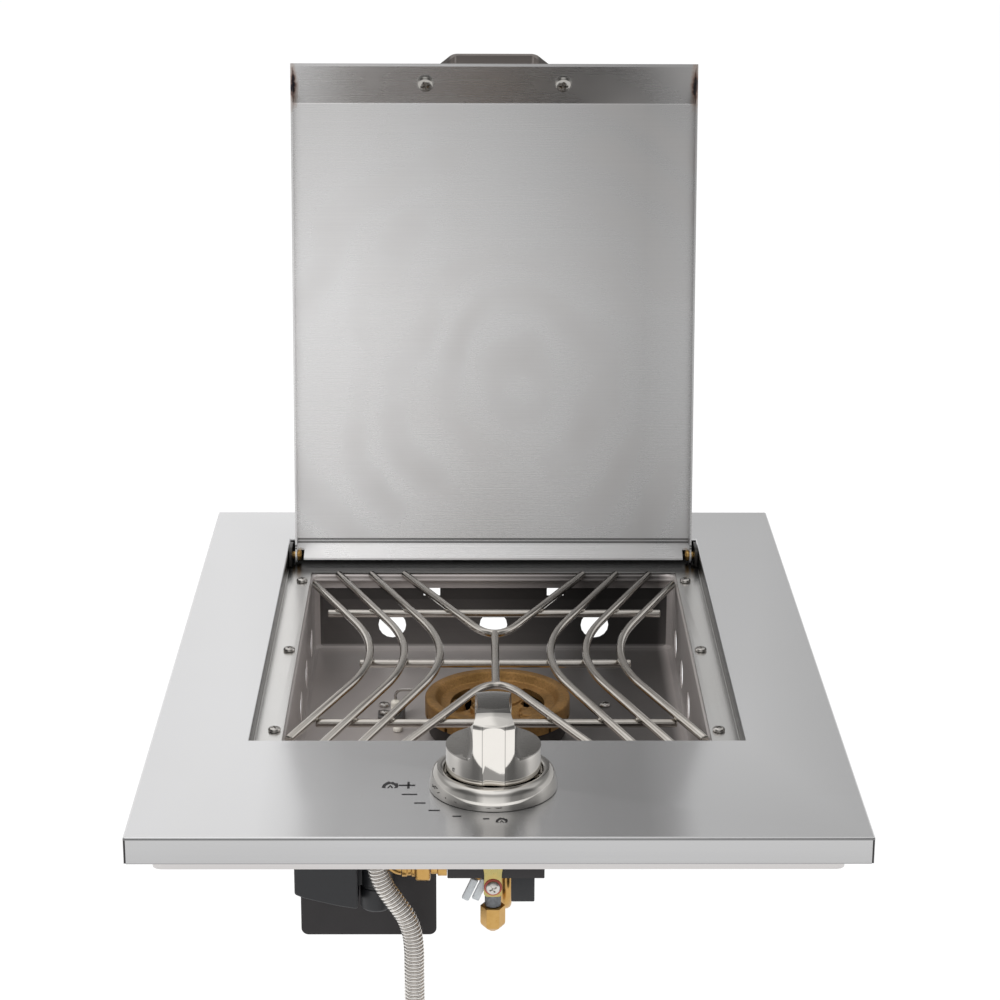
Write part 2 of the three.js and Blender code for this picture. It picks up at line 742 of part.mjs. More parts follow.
function gasOrifice() {
  const { bore, hex, front, rear, spigot, reach } = orifice;
  const start = -mixerStart;
  const nut = turned([[bore, start + rear], [hex, start + rear], [hex, start + front], [bore, start + front]], 6);
  const inner = start + rear + weldDepth;
  const nose = turned([[bore, start - reach], [spigot, start - reach], [spigot, inner], [bore, inner]], 16);
  return join(nut, nose).rotateX(Math.PI / 2).translate(burnerX, 0, mixerHeight);
}

function supplyTube() {
  const x = knobX + supplyOffset;
  const start = -valveBlock.low - airGap;
  const bend = supplyBend.map(([back, up]) => [x, rowY + back, mixerHeight + up]);
  const end = mixerStart - orifice.front - airGap;
  const path = new THREE.CatmullRomCurve3([
    [x, rowY, start], ...bend, [burnerX, end - supplyLead, mixerHeight], [burnerX, end, mixerHeight],
  ].map((point) => new THREE.Vector3(...point)), false, 'centripetal');
  return rod(path, supplyRadius, 15, 8, supplyBore);
}

function electrodeTip() {
  const top = boxFloor + airGap + ceramicLength + airGap;
  const points = tipRoute.map(([x, y, z]) => new THREE.Vector3(electrodeX + x, electrodeY + y, top + z));
  return rod(new THREE.CatmullRomCurve3(points), tipRadius, 10, 6);
}

function electrodeBracket() {
  const low = boxFloor + airGap;
  const { left, right, half, tab } = electrodeFoot;
  const plate = block(-left, right, -half, half, low, low + sheet);
  const ear = block(right - sheet, right, -half, half, low, low + tab);
  const hole = (radius, x, sides) => upright(radius, low - beyond, low + beyond, sides).translate(x, 0, 0);
  const holes = [hole(ceramicRadius + airGap, 0, 20), hole(smallScrew.shank + airGap, -bracketScrewOffset, 8)];
  return cut(join(plate, ear), ...holes).translate(electrodeX, electrodeY, 0);
}

// Lid pan drawn shut, then turned open about its pin
function lidPan() {
  const share = (height) => (height - lidRim) / (lidPlate - lidRim);
  const front = (height) => lidFrontLow + (lidFrontTop - lidFrontLow) * share(height);
  const rear = (height) => lidRearLow + (lidRearTop - lidRearLow) * share(height);
  const frontSkin = sheet * Math.hypot(1, (lidFrontLow - lidFrontTop) / (lidPlate - lidRim));
  const rearSkin = sheet * Math.hypot(1, (lidRearTop - lidRearLow) / (lidPlate - lidRim));
  const outer = (by, height) => (
    inset(lidHalf, -front(height) - frontSkin, -rear(height) + rearSkin, height, lidCorner, by)
  );
  const inner = (by, height) => (
    inset(lidHalf - sheet, -front(height), -rear(height), height, lidCorner - sheet, by)
  );
  const soft = bendShare * lidBend;
  const pan = skin([
    outer(lidBend, lidTop), outer(soft, lidTop - soft), outer(0, lidTop - lidBend), outer(0, lidRim),
    inner(0, lidRim), inner(0, lidPlate - lidInnerBend), inner(lidInnerBend, lidPlate),
  ], false);
  const ears = [-1, 1].map((side) => {
    const ear = barX(pinEar, lidHalf - sheet, lidHalf, 16);
    return side > 0 ? ear : mirrored(ear);
  });
  const eye = barX(pinRadius + airGap, lidHalf - 2 * sheet, lidHalf + sheet, 16);
  const tools = [eye, mirrored(eye)];
  const { wide, forward, back, low, high } = pinNotch;
  for (const side of [-1, 1]) {
    const wall = side * (lidHalf - sheet - notchSkin);
    const near = wall - side * wide;
    tools.push(block(Math.min(wall, near), Math.max(wall, near), -forward, back, -low, high));
    const hole = upright(handleScrew.shank + airGap, -beyond, beyond, 20);
    tools.push(onStrip(hole.translate(side * handleSpacing / 2, 0, 0)));
  }
  return cut(join(pan, ...ears), ...tools);
}

// Puts a piece drawn on the inner face of the lid's front strip in its place
function onStrip(geometry) {
  return geometry.rotateX(stripTilt).translate(0, ...stripMiddle);
}

function openLid(geometry) {
  return geometry.rotateX(-lidOpenAngle * Math.PI / 180).translate(0, pinY, pinHeight);
}

// Bent strip handle: two feet, two leaning legs and a grip
function lidHandle() {
  const low = sheet + airGap;
  const lean = handleStrip * leanShare;
  const base = handleBase / 2 - lean;
  const grip = handleGrip / 2 - lean;
  const foot = handleFoot / 2;
  const high = low + handleRise;
  const right = [[foot, low], [foot, low + handleStrip], [base + lean, low + handleStrip], [grip + lean, high]];
  const under = [[grip, high - handleStrip], [base, low]];
  const flip = (points) => points.map(([x, z]) => [-x, z]).reverse();
  const outline = [...right, ...flip(right), ...flip(under), ...under];
  const shape = new THREE.Shape(outline.map((point) => new THREE.Vector2(...point)));
  const strip = new THREE.ExtrudeGeometry(shape, { depth: handleWidth, bevelEnabled: false })
    .rotateX(Math.PI / 2).translate(0, handleWidth / 2, 0);
  const hole = upright(handleScrew.shank + airGap, low - beyond, low + beyond, 20);
  hole.translate(handleSpacing / 2, 0, 0);
  return openLid(onStrip(cut(strip, hole, mirrored(hole))));
}

function handleScrewAt(side) {
  return openLid(onStrip(screw(handleScrew).rotateX(Math.PI).translate(side * handleSpacing / 2, 0, -airGap)));
}

function hingeBracket() {
  const low = airGap - ledgeDrop;
  const shape = new THREE.Shape();
  const round = bracketRound;
  shape.moveTo(bracketFront, low);
  shape.lineTo(bracketRear, low);
  shape.lineTo(bracketRear, bracketTop - round);
  shape.absarc(bracketRear - round, bracketTop - round, round, 0, Math.PI / 2, false);
  shape.lineTo(bracketFront + round, bracketTop);
  shape.absarc(bracketFront + round, bracketTop - round, round, Math.PI / 2, Math.PI, false);
  shape.closePath();
  const plate = new THREE.ExtrudeGeometry(shape, { depth: bracketThick, bevelEnabled: false, curveSegments: 3 })
    .rotateX(Math.PI / 2).rotateZ(Math.PI / 2);
  const near = recessHalf - airGap;
  const placed = plate.translate(near - bracketThick, 0, 0);
  return cut(placed, barX(pinRadius + airGap, near - beyond, near + beyond, 12).translate(0, pinY, pinHeight));
}

function hingePin() {
  const { radius, neck, thick, bevel } = pinHead;
  const seat = lidHalf - sheet - airGap;
  const end = recessHalf - airGap;
  const body = turned([
    [0, seat - thick], [neck, seat - thick], [radius, seat - thick + bevel], [radius, seat],
    [pinRadius, seat], [pinRadius, end], [0, end],
  ], 16);
  return body.rotateY(Math.PI / 2).translate(0, pinY, pinHeight);
}

function knobBezel() {
  const inside = knobRadius + bezelGap;
  const body = turned([
    [bezelBore, airGap], [bezelBore, bezelFloor], [inside, bezelFloor],
    ...bezelLip.map(([out, down]) => [inside + out, bezelHeight - down]),
    ...bezelRim.map(([back, down]) => [bezelRadius - back, bezelHeight - down]), [bezelRadius, airGap],
  ], 30);
  const hole = upright(valveScrew.shank + airGap, -beyond, bezelFloor + beyond, 8);
  hole.translate(valveScrewOffset, 0, 0);
  return cut(body, hole, mirrored(hole)).translate(knobX, knobY, 0);
}

// Knob: crowned top, flat front facet and two scooped sides that leave a grip ridge
function knobBody() {
  const body = turned([
    [stemRadius + airGap, knobBottom], [knobRadius - knobBevel, knobBottom],
    [knobRadius, knobBottom + knobBevel],
    ...knobRound.map(([back, down]) => [knobRadius - back, knobEdge - down]),
    ...knobCrown.map(([back, down]) => [knobRadius - back, knobTop - down]), [0, knobTop],
    [0, stemTop + 2 * airGap], [stemRadius + airGap, stemTop + 2 * airGap],
  ], 30);
  const far = 2 * knobRadius;
  const facet = block(-knobRadius, knobRadius, -far, -knobFlat, 0, 2 * knobTop);
  const scoop = barY(scoopRadius, -far, far, 48).translate(ridgeHalf + scoopRadius, 0, scoopHeight);
  const above = block(ridgeHalf, far, -far, far, scoopHeight, 2 * knobTop);
  return cut(body, facet, scoop, mirrored(scoop), above, mirrored(above)).translate(knobX, knobY, 0);
}

function valveStem() {
  const flat = block(-beyond, beyond, stemFlat, beyond, stemBottom - beyond, stemTop + beyond);
  return cut(upright(stemRadius, stemBottom, stemTop, 16), flat).translate(knobX, knobY, 0);
}

function valvePlug() {
  const bore = stemRadius + airGap;
  return turned([
    [0, plugBottom], [plugRadius, plugBottom], [plugRadius, plugTop], [bore, plugTop],
    [bore, stemBottom - knobTravel - stemClearance], [0, stemBottom - knobTravel - stemClearance],
  ], 16).translate(knobX, knobY, 0);
}

function valveBody() {
  const top = -sheet - airGap;
  const { low } = valveFlange;
  const flange = block(-valveFlange.left, valveFlange.left, -valveFlange.front, valveFlange.rear, -low, top);
  const { left, right, front, rear } = valveBlock;
  const floor = -valveBlock.low;
  const middle = block(-left, right, -front, rear, floor, weldDepth - low);
  const tail = upright(neckTailRadius, neckTailBottom, floor + weldDepth, 16);
  const across = rowY - knobY;
  const { wide, half, drop } = inletArm;
  const arm = block(-left, wide - left, across - half, across + half, rowHeight - drop, floor + weldDepth);
  const stub = barX(stubRadius, barLeft - knobX, 2 * weldDepth - left, 16).translate(0, across, rowHeight);
  const screwHole = upright(valveScrew.shank + airGap, -2 * low, 0, 16).translate(valveScrewOffset, 0, 0);
  return cut(
    join(flange, middle, tail, arm, stub), screwHole, mirrored(screwHole),
    upright(plugRadius + airGap, plugBottom - airGap, 0, 24),
    barY(clipScrewSize.shank + airGap, -beyond, -clipHoleFloor, 16).translate(0, 0, clipScrewHeight),
    upright(rowBore, floor - beyond, floor + beyond, 12).translate(supplyOffset, across, 0),
  ).translate(knobX, knobY, 0);
}

function valveBracket() {
  const top = -sheet - airGap;
  const bar = block(barLeft, barRight, barFront, barFront + barThick, barBottom, barTop);
  const leg = (x) => block(x, x + barLeg, barFront, barFront + barThick, barTop - barLeg, top);
  return join(bar, leg(barLeft), leg(barRight - barLeg));
}

function valveClip() {
  const rear = barFront - airGap;
  const strip = block(-clipHalf, clipHalf, rear - sheet, rear, clipScrewHeight - clipTail, barTop + clipRise);
  const hole = barY(clipScrewSize.shank + airGap, rear - beyond, rear + beyond, 16);
  return cut(strip, hole.translate(0, 0, clipScrewHeight)).translate(knobX, 0, 0);
}

function clipScrew() {
  return screw(clipScrewSize).rotateX(Math.PI / 2).translate(knobX, barFront - 2 * airGap - sheet, clipScrewHeight);
}

function valveCap() {
  const top = collarBottom - airGap;
  return turned([
    [0, capBottom], [capTip, capBottom + capTipRise], [capRadius - capBevel, capBottom + capRise],
    [capRadius, top], [0, top],
  ], 6).translate(knobX, knobY, 0);
}

// One fitting of the inlet row, drawn along X
function rowPiece(profile, sides = 16) {
  return turned(profile, sides).rotateY(Math.PI / 2).translate(0, rowY, rowHeight);
}

function inletElbow() {
  const start = rowEnds.barrel - airGap;
  const path = new THREE.CurvePath();
  const at = (x, z) => new THREE.Vector3(x, rowY, z);
  const corner = at(elbowX, rowHeight);
  const [near, far] = [at(elbowX + elbowBend, rowHeight), at(elbowX, rowHeight + elbowBend)];
  path.add(new THREE.LineCurve3(at(start, rowHeight), near));
  path.add(new THREE.QuadraticBezierCurve3(near, corner, far));
  path.add(new THREE.LineCurve3(far, at(elbowX, inletBlockLow - airGap)));
  return rod(path, elbowRadius, 9, 8, rowBore);
}

function inletBlock() {
  const { left, right, front, rear } = inletSides;
  const body = block(left, right, front, rear, inletBlockLow, -sheet - airGap);
  const [x, y] = hoseRoute[0];
  const port = (radius, sides) => upright(radius, inletBlockLow - beyond, inletBlockLow + portDepth, sides);
  return cut(body, port(hosePort, 16).translate(x, y, 0), port(rowBore, 12).translate(elbowX, rowY, 0));
}

function hoseGland() {
  const [x, y] = hoseRoute[0];
  const [low, high] = [hoseTop + airGap, inletBlockLow - airGap];
  const { bore, foot, radius, bevel } = gland;
  const profile = [[bore, low], [foot, low], [radius, low + bevel], [radius, high], [bore, high]];
  return turned(profile, 6).translate(x, y, 0);
}

// Corrugated hose: ribs outside, plain bore inside
function gasHose() {
  const route = hoseRoute.map((point) => new THREE.Vector3(...point));
  const curve = new THREE.CatmullRomCurve3(route, false, 'centripetal');
  const ribs = Math.round(curve.getLength() / ribPitch / boreStep) * boreStep;
  const ahead = new THREE.Vector3(0, 1, 0);
  const points = [];
  const ringAt = (share, radius) => {
    const centre = curve.getPointAt(share);
    const side = ahead.clone().cross(curve.getTangentAt(share)).normalize();
    const start = points.length / 3;
    for (let k = 0; k < ribSides; k += 1) {
      const turn = k * 2 * Math.PI / ribSides;
      const spot = centre.clone().addScaledVector(side, radius * Math.cos(turn));
      points.push(...spot.addScaledVector(ahead, radius * Math.sin(turn)).toArray());
    }
    return start;
  };
  const rings = [];
  for (let i = 0; i < ribs; i += 1) {
    rings.push(ringAt(i / ribs, hoseRadius * valleyShare));
    rings.push(ringAt((i + ribFillShare) / ribs, hoseRadius));
  }
  rings.push(ringAt(1, hoseRadius * valleyShare));
  for (let i = ribs; i >= 0; i -= boreStep) rings.push(ringAt(i / ribs, hoseRadius * boreShare));
  const index = [];
  rings.forEach((a, i) => {
    const b = rings[(i + 1) % rings.length];
    for (let k = 0; k < ribSides; k += 1) {
      const next = (k + 1) % ribSides;
      index.push(a + k, b + k, b + next, a + k, b + next, a + next);
    }
  });
  const geometry = new THREE.BufferGeometry();
  geometry.setAttribute('position', new THREE.BufferAttribute(new Float32Array(points), 3));
  geometry.setIndex(index);
  return geometry;
}

function hoseEndFitting() {
  const [x, y, end] = hoseRoute[hoseRoute.length - 1];
  const top = end - airGap;
  const { bore, radius, bevel, nutRadius, nutTop, nutLow, mouth, mouthTop } = hoseEnd;
  const base = top - nutTop - weldDepth;
  const collar = turned([
    [bore, base], [radius, base], [radius, top - bevel], [radius - bevel, top], [bore, top],
  ], 16);
  const nut = turned([
    [bore, top - nutTop], [nutRadius - bevel, top - nutTop], [nutRadius, top - nutTop - bevel],
    [nutRadius, top - nutLow + bevel], [nutRadius - bevel, top - nutLow], [mouth, top - nutLow],
    [mouth, top - mouthTop], [bore, top - mouthTop],
  ], 6);
  return join(collar, nut).translate(x, y, 0);
}

function igniterHousing() {
  const { left, right, top, low, corner, front, rear } = housing;
  const outline = [[left, top], [right, top], [right, low], [left + corner, low], [left, low + corner]];
  const shape = new THREE.Shape(outline.map((point) => new THREE.Vector2(...point)));
  const box = new THREE.ExtrudeGeometry(shape, { depth: rear - front, bevelEnabled: false });
  const holder = upright(holderRadius, batteryTop, top, 20).translate(batteryX, batteryY, 0);
  const { lap, half } = holderWeb;
  const bridge = block(right - lap, batteryX, batteryY - half, batteryY + half, batteryTop, top);
  return join(box.rotateX(Math.PI / 2).translate(0, rear, 0), holder, bridge);
}

function batteryCap() {
  const top = batteryTop - airGap;
  const { radius, low, bevel } = battery;
  return turned([[0, low], [radius - bevel, low], [radius, low + bevel], [radius, top], [0, top]], 20)
    .translate(batteryX, batteryY, 0);
}

function heatPlate() {
  const top = -sheet - airGap;
  const shape = new THREE.Shape();
  const { left, right, low, round, flange } = plate;
  shape.moveTo(left, top);
  shape.lineTo(left, low + round);
  shape.absarc(left + round, low + round, round, Math.PI, 1.5 * Math.PI, false);
  shape.lineTo(right - round, low);
  shape.absarc(right - round, low + round, round, 1.5 * Math.PI, 2 * Math.PI, false);
  shape.lineTo(right, top);
  shape.closePath();
  const wall = new THREE.ExtrudeGeometry(shape, { depth: sheet, bevelEnabled: false, curveSegments: 5 })
    .rotateX(Math.PI / 2).translate(0, plateY + sheet, 0);
  return join(wall, block(left, right, plateY, plateY + flange, top - sheet, top));
}

function connector(x) {
  const [wide, deep, high] = connectorHalf;
  return block(-wide, wide, -deep, deep, -high, high).rotateY(connectorTilt).translate(x, connectorY, connectorZ);
}

add('top_panel', topPanel(), brushedSteel);
add('support_frame', supportFrame(), brushedSteel);
add('burner_box', burnerBox(), darkSteel);
let number = 0;
for (const row of ledgeScrewRows) {
  for (const side of [-1, 1]) {
    number += 1;
    const placed = screw(ledgeScrew).translate(side * ledgeScrewX, row, airGap - ledgeDrop);
    add(`ledge_screw_${number}`, placed, brushedSteel);
  }
}
add('cooking_grate', cookingGrate(), wireSteel);

add('burner_head', burnerHead(), castBrass);
add('burner_bowl', burnerBowl(), blackSteel);
['left', 'front'].forEach((where, i) => {
  const [x, y] = headBosses[i];
  const placed = screw(smallScrew).translate(burnerX + x, burnerY + y, bossTop + airGap);
  add(`burner_screw_${where}`, placed, castBrass);
});
add('mixer_tube', mixerTube(), brushedSteel);
add('air_shutter', airShutter(), brushedSteel);
add('gas_orifice', gasOrifice(), brightBrass);
add('supply_tube', supplyTube(), brightBrass);

const boxFloorSeat = boxFloor + airGap;
const ceramic = upright(ceramicRadius, boxFloorSeat, boxFloorSeat + ceramicLength, 16);
add('electrode_ceramic', ceramic.translate(electrodeX, electrodeY, 0), whiteCeramic);
add('electrode_tip', electrodeTip(), brushedSteel);
add('electrode_bracket', electrodeBracket(), brushedSteel);
const bracketScrew = screw(smallScrew).translate(electrodeX - bracketScrewOffset, electrodeY, 0);
add('bracket_screw', bracketScrew.translate(0, 0, boxFloorSeat + sheet + airGap), brushedSteel);
const bush = upright(ceramicRadius, boxFloorSeat, boxFloorSeat + bushHeight, 16);
add('lead_bush', bush.translate(bushX, bushY, 0), whiteCeramic);
add('floor_screw_left', screw(floorScrew).translate(-floorScrewX, floorScrewY, boxFloorSeat), brushedSteel);
add('floor_screw_right', screw(floorScrew).translate(floorScrewX, floorScrewY, boxFloorSeat), brushedSteel);

add('hinge_bracket_left', mirrored(hingeBracket()), darkSteel);
add('hinge_bracket_right', hingeBracket(), darkSteel);
add('hinge_pin_left', mirrored(hingePin()), darkSteel);
add('hinge_pin_right', hingePin(), darkSteel);
add('lid', openLid(lidPan()), brushedSteel);
add('lid_handle', lidHandle(), brushedSteel);
add('handle_screw_left', handleScrewAt(-1), polishedNickel);
add('handle_screw_right', handleScrewAt(1), polishedNickel);

add('knob_bezel', knobBezel(), polishedNickel);
add('knob', knobBody(), polishedNickel);
add('valve_stem', valveStem(), greyZinc);
add('valve_plug', valvePlug(), brightBrass);
add('valve_body', valveBody(), brightBrass);
for (const [where, side] of [['left', -1], ['right', 1]]) {
  const placed = screw(valveScrew).translate(knobX + side * valveScrewOffset, knobY, bezelFloor + airGap);
  add(`valve_screw_${where}`, placed, greyZinc);
}
add('valve_bracket', valveBracket(), blackSteel);
add('valve_clip', valveClip(), yellowZinc);
add('clip_screw', clipScrew(), redPaint);
const collar = upright(collarRadius, collarBottom, neckTailBottom - airGap, 16);
add('valve_collar', collar.translate(knobX, knobY, 0), greyZinc);
add('valve_cap', valveCap(), brightBrass);

// A plain ring of the inlet row
function rowRing(radius, from, to, sides) {
  return rowPiece([[rowBore, from], [radius, from], [radius, to], [rowBore, to]], sides);
}

const { stub, step, tail, nut, barrel } = rowEnds;
add('inlet_tail', rowPiece([
  [rowBore, tail], [rowRadius.tail, tail], [rowRadius.tail, step], [rowRadius.collar, step],
  [rowRadius.collar, stub], [rowBore, stub],
]), brightBrass);
add('inlet_nut', rowRing(rowRadius.nut, nut, tail - airGap, 6), brightBrass);
add('inlet_barrel', rowRing(rowRadius.barrel, barrel, nut - airGap), brightBrass);
add('inlet_elbow', inletElbow(), brightBrass);
add('inlet_block', inletBlock(), brightBrass);
add('hose_gland', hoseGland(), greyZinc);
add('gas_hose', gasHose(), wireSteel);
add('hose_end_fitting', hoseEndFitting(), brightBrass);

add('igniter_housing', igniterHousing(), blackPlastic);
add('battery_cap', batteryCap(), blackPlastic);
add('heat_plate', heatPlate(), blackSteel);
const { left, right, front, rear, low } = switchBox;
add('switch_box', block(left, right, front, rear, low, barBottom - airGap), blackPlastic);
add('connector_front', connector(connectorPlaces[0]), whiteCeramic);
add('connector_rear', connector(connectorPlaces[1]), whiteCeramic);

export default group;
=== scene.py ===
from math import cos, degrees, pi, radians, sin

import bmesh
import bpy
from mathutils import Matrix, Vector


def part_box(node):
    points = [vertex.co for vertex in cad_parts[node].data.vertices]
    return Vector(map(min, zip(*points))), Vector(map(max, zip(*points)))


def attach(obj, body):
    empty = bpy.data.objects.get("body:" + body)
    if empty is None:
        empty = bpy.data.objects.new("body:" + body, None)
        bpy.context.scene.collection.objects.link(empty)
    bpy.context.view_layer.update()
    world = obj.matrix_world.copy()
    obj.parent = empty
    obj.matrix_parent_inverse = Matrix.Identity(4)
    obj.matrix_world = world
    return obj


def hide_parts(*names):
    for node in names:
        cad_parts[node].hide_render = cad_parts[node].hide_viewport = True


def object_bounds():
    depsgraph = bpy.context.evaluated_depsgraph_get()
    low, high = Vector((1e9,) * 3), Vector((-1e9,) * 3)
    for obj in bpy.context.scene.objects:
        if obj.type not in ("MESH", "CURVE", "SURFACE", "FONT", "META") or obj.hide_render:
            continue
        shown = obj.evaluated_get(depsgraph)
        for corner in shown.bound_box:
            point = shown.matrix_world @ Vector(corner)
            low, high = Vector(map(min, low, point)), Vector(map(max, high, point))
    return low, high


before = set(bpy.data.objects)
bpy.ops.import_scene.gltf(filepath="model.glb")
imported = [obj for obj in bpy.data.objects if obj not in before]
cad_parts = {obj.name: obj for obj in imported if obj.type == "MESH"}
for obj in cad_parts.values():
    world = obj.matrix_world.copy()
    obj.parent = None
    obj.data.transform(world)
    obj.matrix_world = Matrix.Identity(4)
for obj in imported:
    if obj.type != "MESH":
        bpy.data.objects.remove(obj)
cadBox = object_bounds()
print("frame loaded:", len(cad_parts), "nodes")

# Sizes below are in millimetres on the drawing, with zero at the middle of the
# panel's front top edge; spot() carries a drawn point into the frame, in metres.
mm = 0.001
frameShift = Vector((0, -262.5, 14.5))


def spot(x, y, z):
    return (Vector((x, y, z)) + frameShift) * mm


cameraView = {
    "place": (-0.0129, -1.46365, 0.58496), "pitch": 18.024, "yaw": 0.0104, "roll": 0.0040,
    "lens": 93.96, "sensor": 36, "nearest": 0.05,
}


def makeCamera():
    bpy.ops.object.camera_add(location=cameraView["place"])
    camera = bpy.context.object
    camera.name = "mainCamera"
    camera.data.lens = cameraView["lens"]
    camera.data.sensor_width = cameraView["sensor"]
    camera.data.clip_start = cameraView["nearest"]
    pitch, yaw = radians(cameraView["pitch"]), cameraView["yaw"]
    look = Vector((sin(yaw) * cos(pitch), cos(yaw) * cos(pitch), -sin(pitch)))
    roll = Matrix.Rotation(cameraView["roll"], 3, "Z").to_quaternion()
    camera.rotation_mode = "QUATERNION"
    camera.rotation_quaternion = look.to_track_quat("-Z", "Y") @ roll
    bpy.context.scene.camera = camera
    bpy.context.scene.view_settings.view_transform = "Standard"


makeCamera()
print("camera set")


# Modelling helpers
def clearAll():
    if bpy.context.mode != "OBJECT":
        bpy.ops.object.mode_set(mode="OBJECT")
    bpy.ops.object.select_all(action="DESELECT")


def pick(*pieces):
    clearAll()
    for piece in pieces:
        piece.select_set(True)
    bpy.context.view_layer.objects.active = pieces[0]
    return pieces[0]


# Rounds only the edges whose two ends pass the test; ends come in drawn millimetres
def roundEdges(piece, test, width, segments=4):
    pick(piece)
    bpy.ops.object.mode_set(mode="EDIT")
    bpy.ops.mesh.select_mode(type="EDGE")
    mesh = bmesh.from_edit_mesh(piece.data)
    for edge in mesh.edges:
        edge.select_set(test(*[vertex.co / mm for vertex in edge.verts]))
    bmesh.update_edit_mesh(piece.data)
    bpy.ops.mesh.bevel(offset=width * mm, segments=segments, affect="EDGES")
    bpy.ops.mesh.select_mode(type="VERT")
    bpy.ops.object.mode_set(mode="OBJECT")
    return piece


# A piece made round zero is turned, moved to its place and applied there
def settle(piece, where=(0, 0, 0), turns=(), mirror=False):
    turned = Matrix.Identity(4)
    for axis, angle in turns:
        turned = Matrix.Rotation(radians(angle), 4, axis) @ turned
    piece.matrix_world = Matrix.Translation(Vector(where)) @ turned
    pick(piece)
    bpy.ops.object.transform_apply(location=True, rotation=True, scale=True)
    if mirror:
        piece.scale = (-1, 1, 1)
        bpy.ops.object.transform_apply(location=False, rotation=False, scale=True)
        outward(piece)
    return piece


def outward(piece, merge=1e-6):
    pick(piece)
    bpy.ops.object.mode_set(mode="EDIT")
    bpy.ops.mesh.select_all(action="SELECT")
    bpy.ops.mesh.remove_doubles(threshold=merge)
    bpy.ops.mesh.normals_make_consistent(inside=False)
    bpy.ops.object.mode_set(mode="OBJECT")


def smooth(piece, angle=32):
    pick(piece)
    bpy.ops.object.shade_smooth_by_angle(angle=radians(angle))


def applyAll(piece):
    pick(piece)
    for modifier in list(piece.modifiers):
        bpy.ops.object.modifier_apply(modifier=modifier.name)


def softenEdges(piece, width, segments=3, angle=35):
    bevel = piece.modifiers.new("softEdges", "BEVEL")
    bevel.width = width * mm
    bevel.segments = segments
    bevel.limit_method = "ANGLE"
    bevel.angle_limit = radians(angle)
    applyAll(piece)


def cutWith(piece, *tools, how="DIFFERENCE"):
    for tool in tools:
        boolean = piece.modifiers.new("cut", "BOOLEAN")
        boolean.operation = how
        boolean.solver = "EXACT"
        boolean.object = tool
        applyAll(piece)
        bpy.data.objects.remove(tool, do_unlink=True)


def joined(name, *pieces):
    first = pick(*pieces)
    if len(pieces) > 1:
        bpy.ops.object.join()
    first.name = name
    first.data.name = name
    return first


# Rounds the inner corners of a line of [across, up] points with short arcs;
# a third number on a point is its own radius
def rounded(points, radius, steps=4, closed=False):
    result = []
    count = len(points)
    for i, point in enumerate(points):
        here = Vector(point[:2])
        own = point[2] if len(point) > 2 else radius
        if (not closed and i in (0, count - 1)) or own <= 0:
            result.append((here.x, here.y))
            continue
        before = Vector(points[i - 1][:2]) - here
        after = Vector(points[(i + 1) % count][:2]) - here
        reach = min(own, before.length * 0.45, after.length * 0.45)
        start, end = here + before.normalized() * reach, here + after.normalized() * reach
        for k in range(steps + 1):
            t = k / steps
            bend = start * (1 - t) ** 2 + here * 2 * t * (1 - t) + end * t ** 2
            result.append((bend.x, bend.y))
    return result


# A chain of single points, extruded one from the next, in the XZ plane
def drawChain(name, points):
    clearAll()
    bpy.ops.mesh.primitive_plane_add(size=mm)
    piece = bpy.context.object
    piece.name = name
    bpy.ops.object.mode_set(mode="EDIT")
    bpy.ops.mesh.select_all(action="SELECT")
    bpy.ops.mesh.merge(type="CENTER")
    bpy.ops.transform.translate(value=(points[0][0] * mm, 0, points[0][1] * mm))
    for (x0, z0), (x1, z1) in zip(points, points[1:]):
        step = {"value": ((x1 - x0) * mm, 0, (z1 - z0) * mm)}
        bpy.ops.mesh.extrude_vertices_move(TRANSFORM_OT_translate=step)
    return piece


# Line of [radius, height] points spun round Z; it starts and ends on the axis,
# or as a ring it comes back to its first point
def turnedPiece(name, profile, sides=64, corner=0.0, steps=3, angle=32, ring=False):
    if ring:
        profile = [*profile, profile[0]]
    line = rounded(profile, corner, steps) if corner else [point[:2] for point in profile]
    piece = drawChain(name, line)
    bpy.ops.mesh.select_all(action="SELECT")
    bpy.ops.mesh.spin(steps=sides, angle=2 * pi, center=(0, 0, 0), axis=(0, 0, 1))
    bpy.ops.object.mode_set(mode="OBJECT")
    outward(piece)
    smooth(piece, angle)
    return piece


# Outline of [x, z] points pushed along Y from one depth to another, closed at both ends
def pushedPiece(name, outline, near, far):
    piece = drawChain(name, [*outline, outline[0]])
    bpy.ops.mesh.select_all(action="SELECT")
    bpy.ops.mesh.remove_doubles(threshold=1e-7)
    bpy.ops.transform.translate(value=(0, near * mm, 0))
    bpy.ops.mesh.edge_face_add()
    bpy.ops.mesh.extrude_region_move(TRANSFORM_OT_translate={"value": (0, (far - near) * mm, 0)})
    bpy.ops.object.mode_set(mode="OBJECT")
    outward(piece, 1e-7)
    smooth(piece)
    return piece


def boxPiece(name, low, high, edge=0.4, segments=2):
    clearAll()
    size = [b - a for a, b in zip(low, high)]
    middle = [(a + b) / 2 * mm for a, b in zip(low, high)]
    bpy.ops.mesh.primitive_cube_add(size=1, location=middle, scale=[s * mm for s in size])
    piece = bpy.context.object
    piece.name = name
    bpy.ops.object.transform_apply(location=True, rotation=True, scale=True)
    if edge > 0:
        bpy.ops.object.mode_set(mode="EDIT")
        bpy.ops.mesh.select_all(action="SELECT")
        bpy.ops.mesh.bevel(offset=edge * mm, segments=segments, affect="EDGES")
        bpy.ops.object.mode_set(mode="OBJECT")
    smooth(piece)
    return piece


# Plain round tool for a hole, upright unless it is turned
def roundTool(radius, low, high, where=(0, 0, 0), turns=(), sides=32):
    tool = turnedPiece("roundTool", [(0, low), (radius, low), (radius, high), (0, high)], sides)
    return settle(tool, Vector(where) * mm, turns)


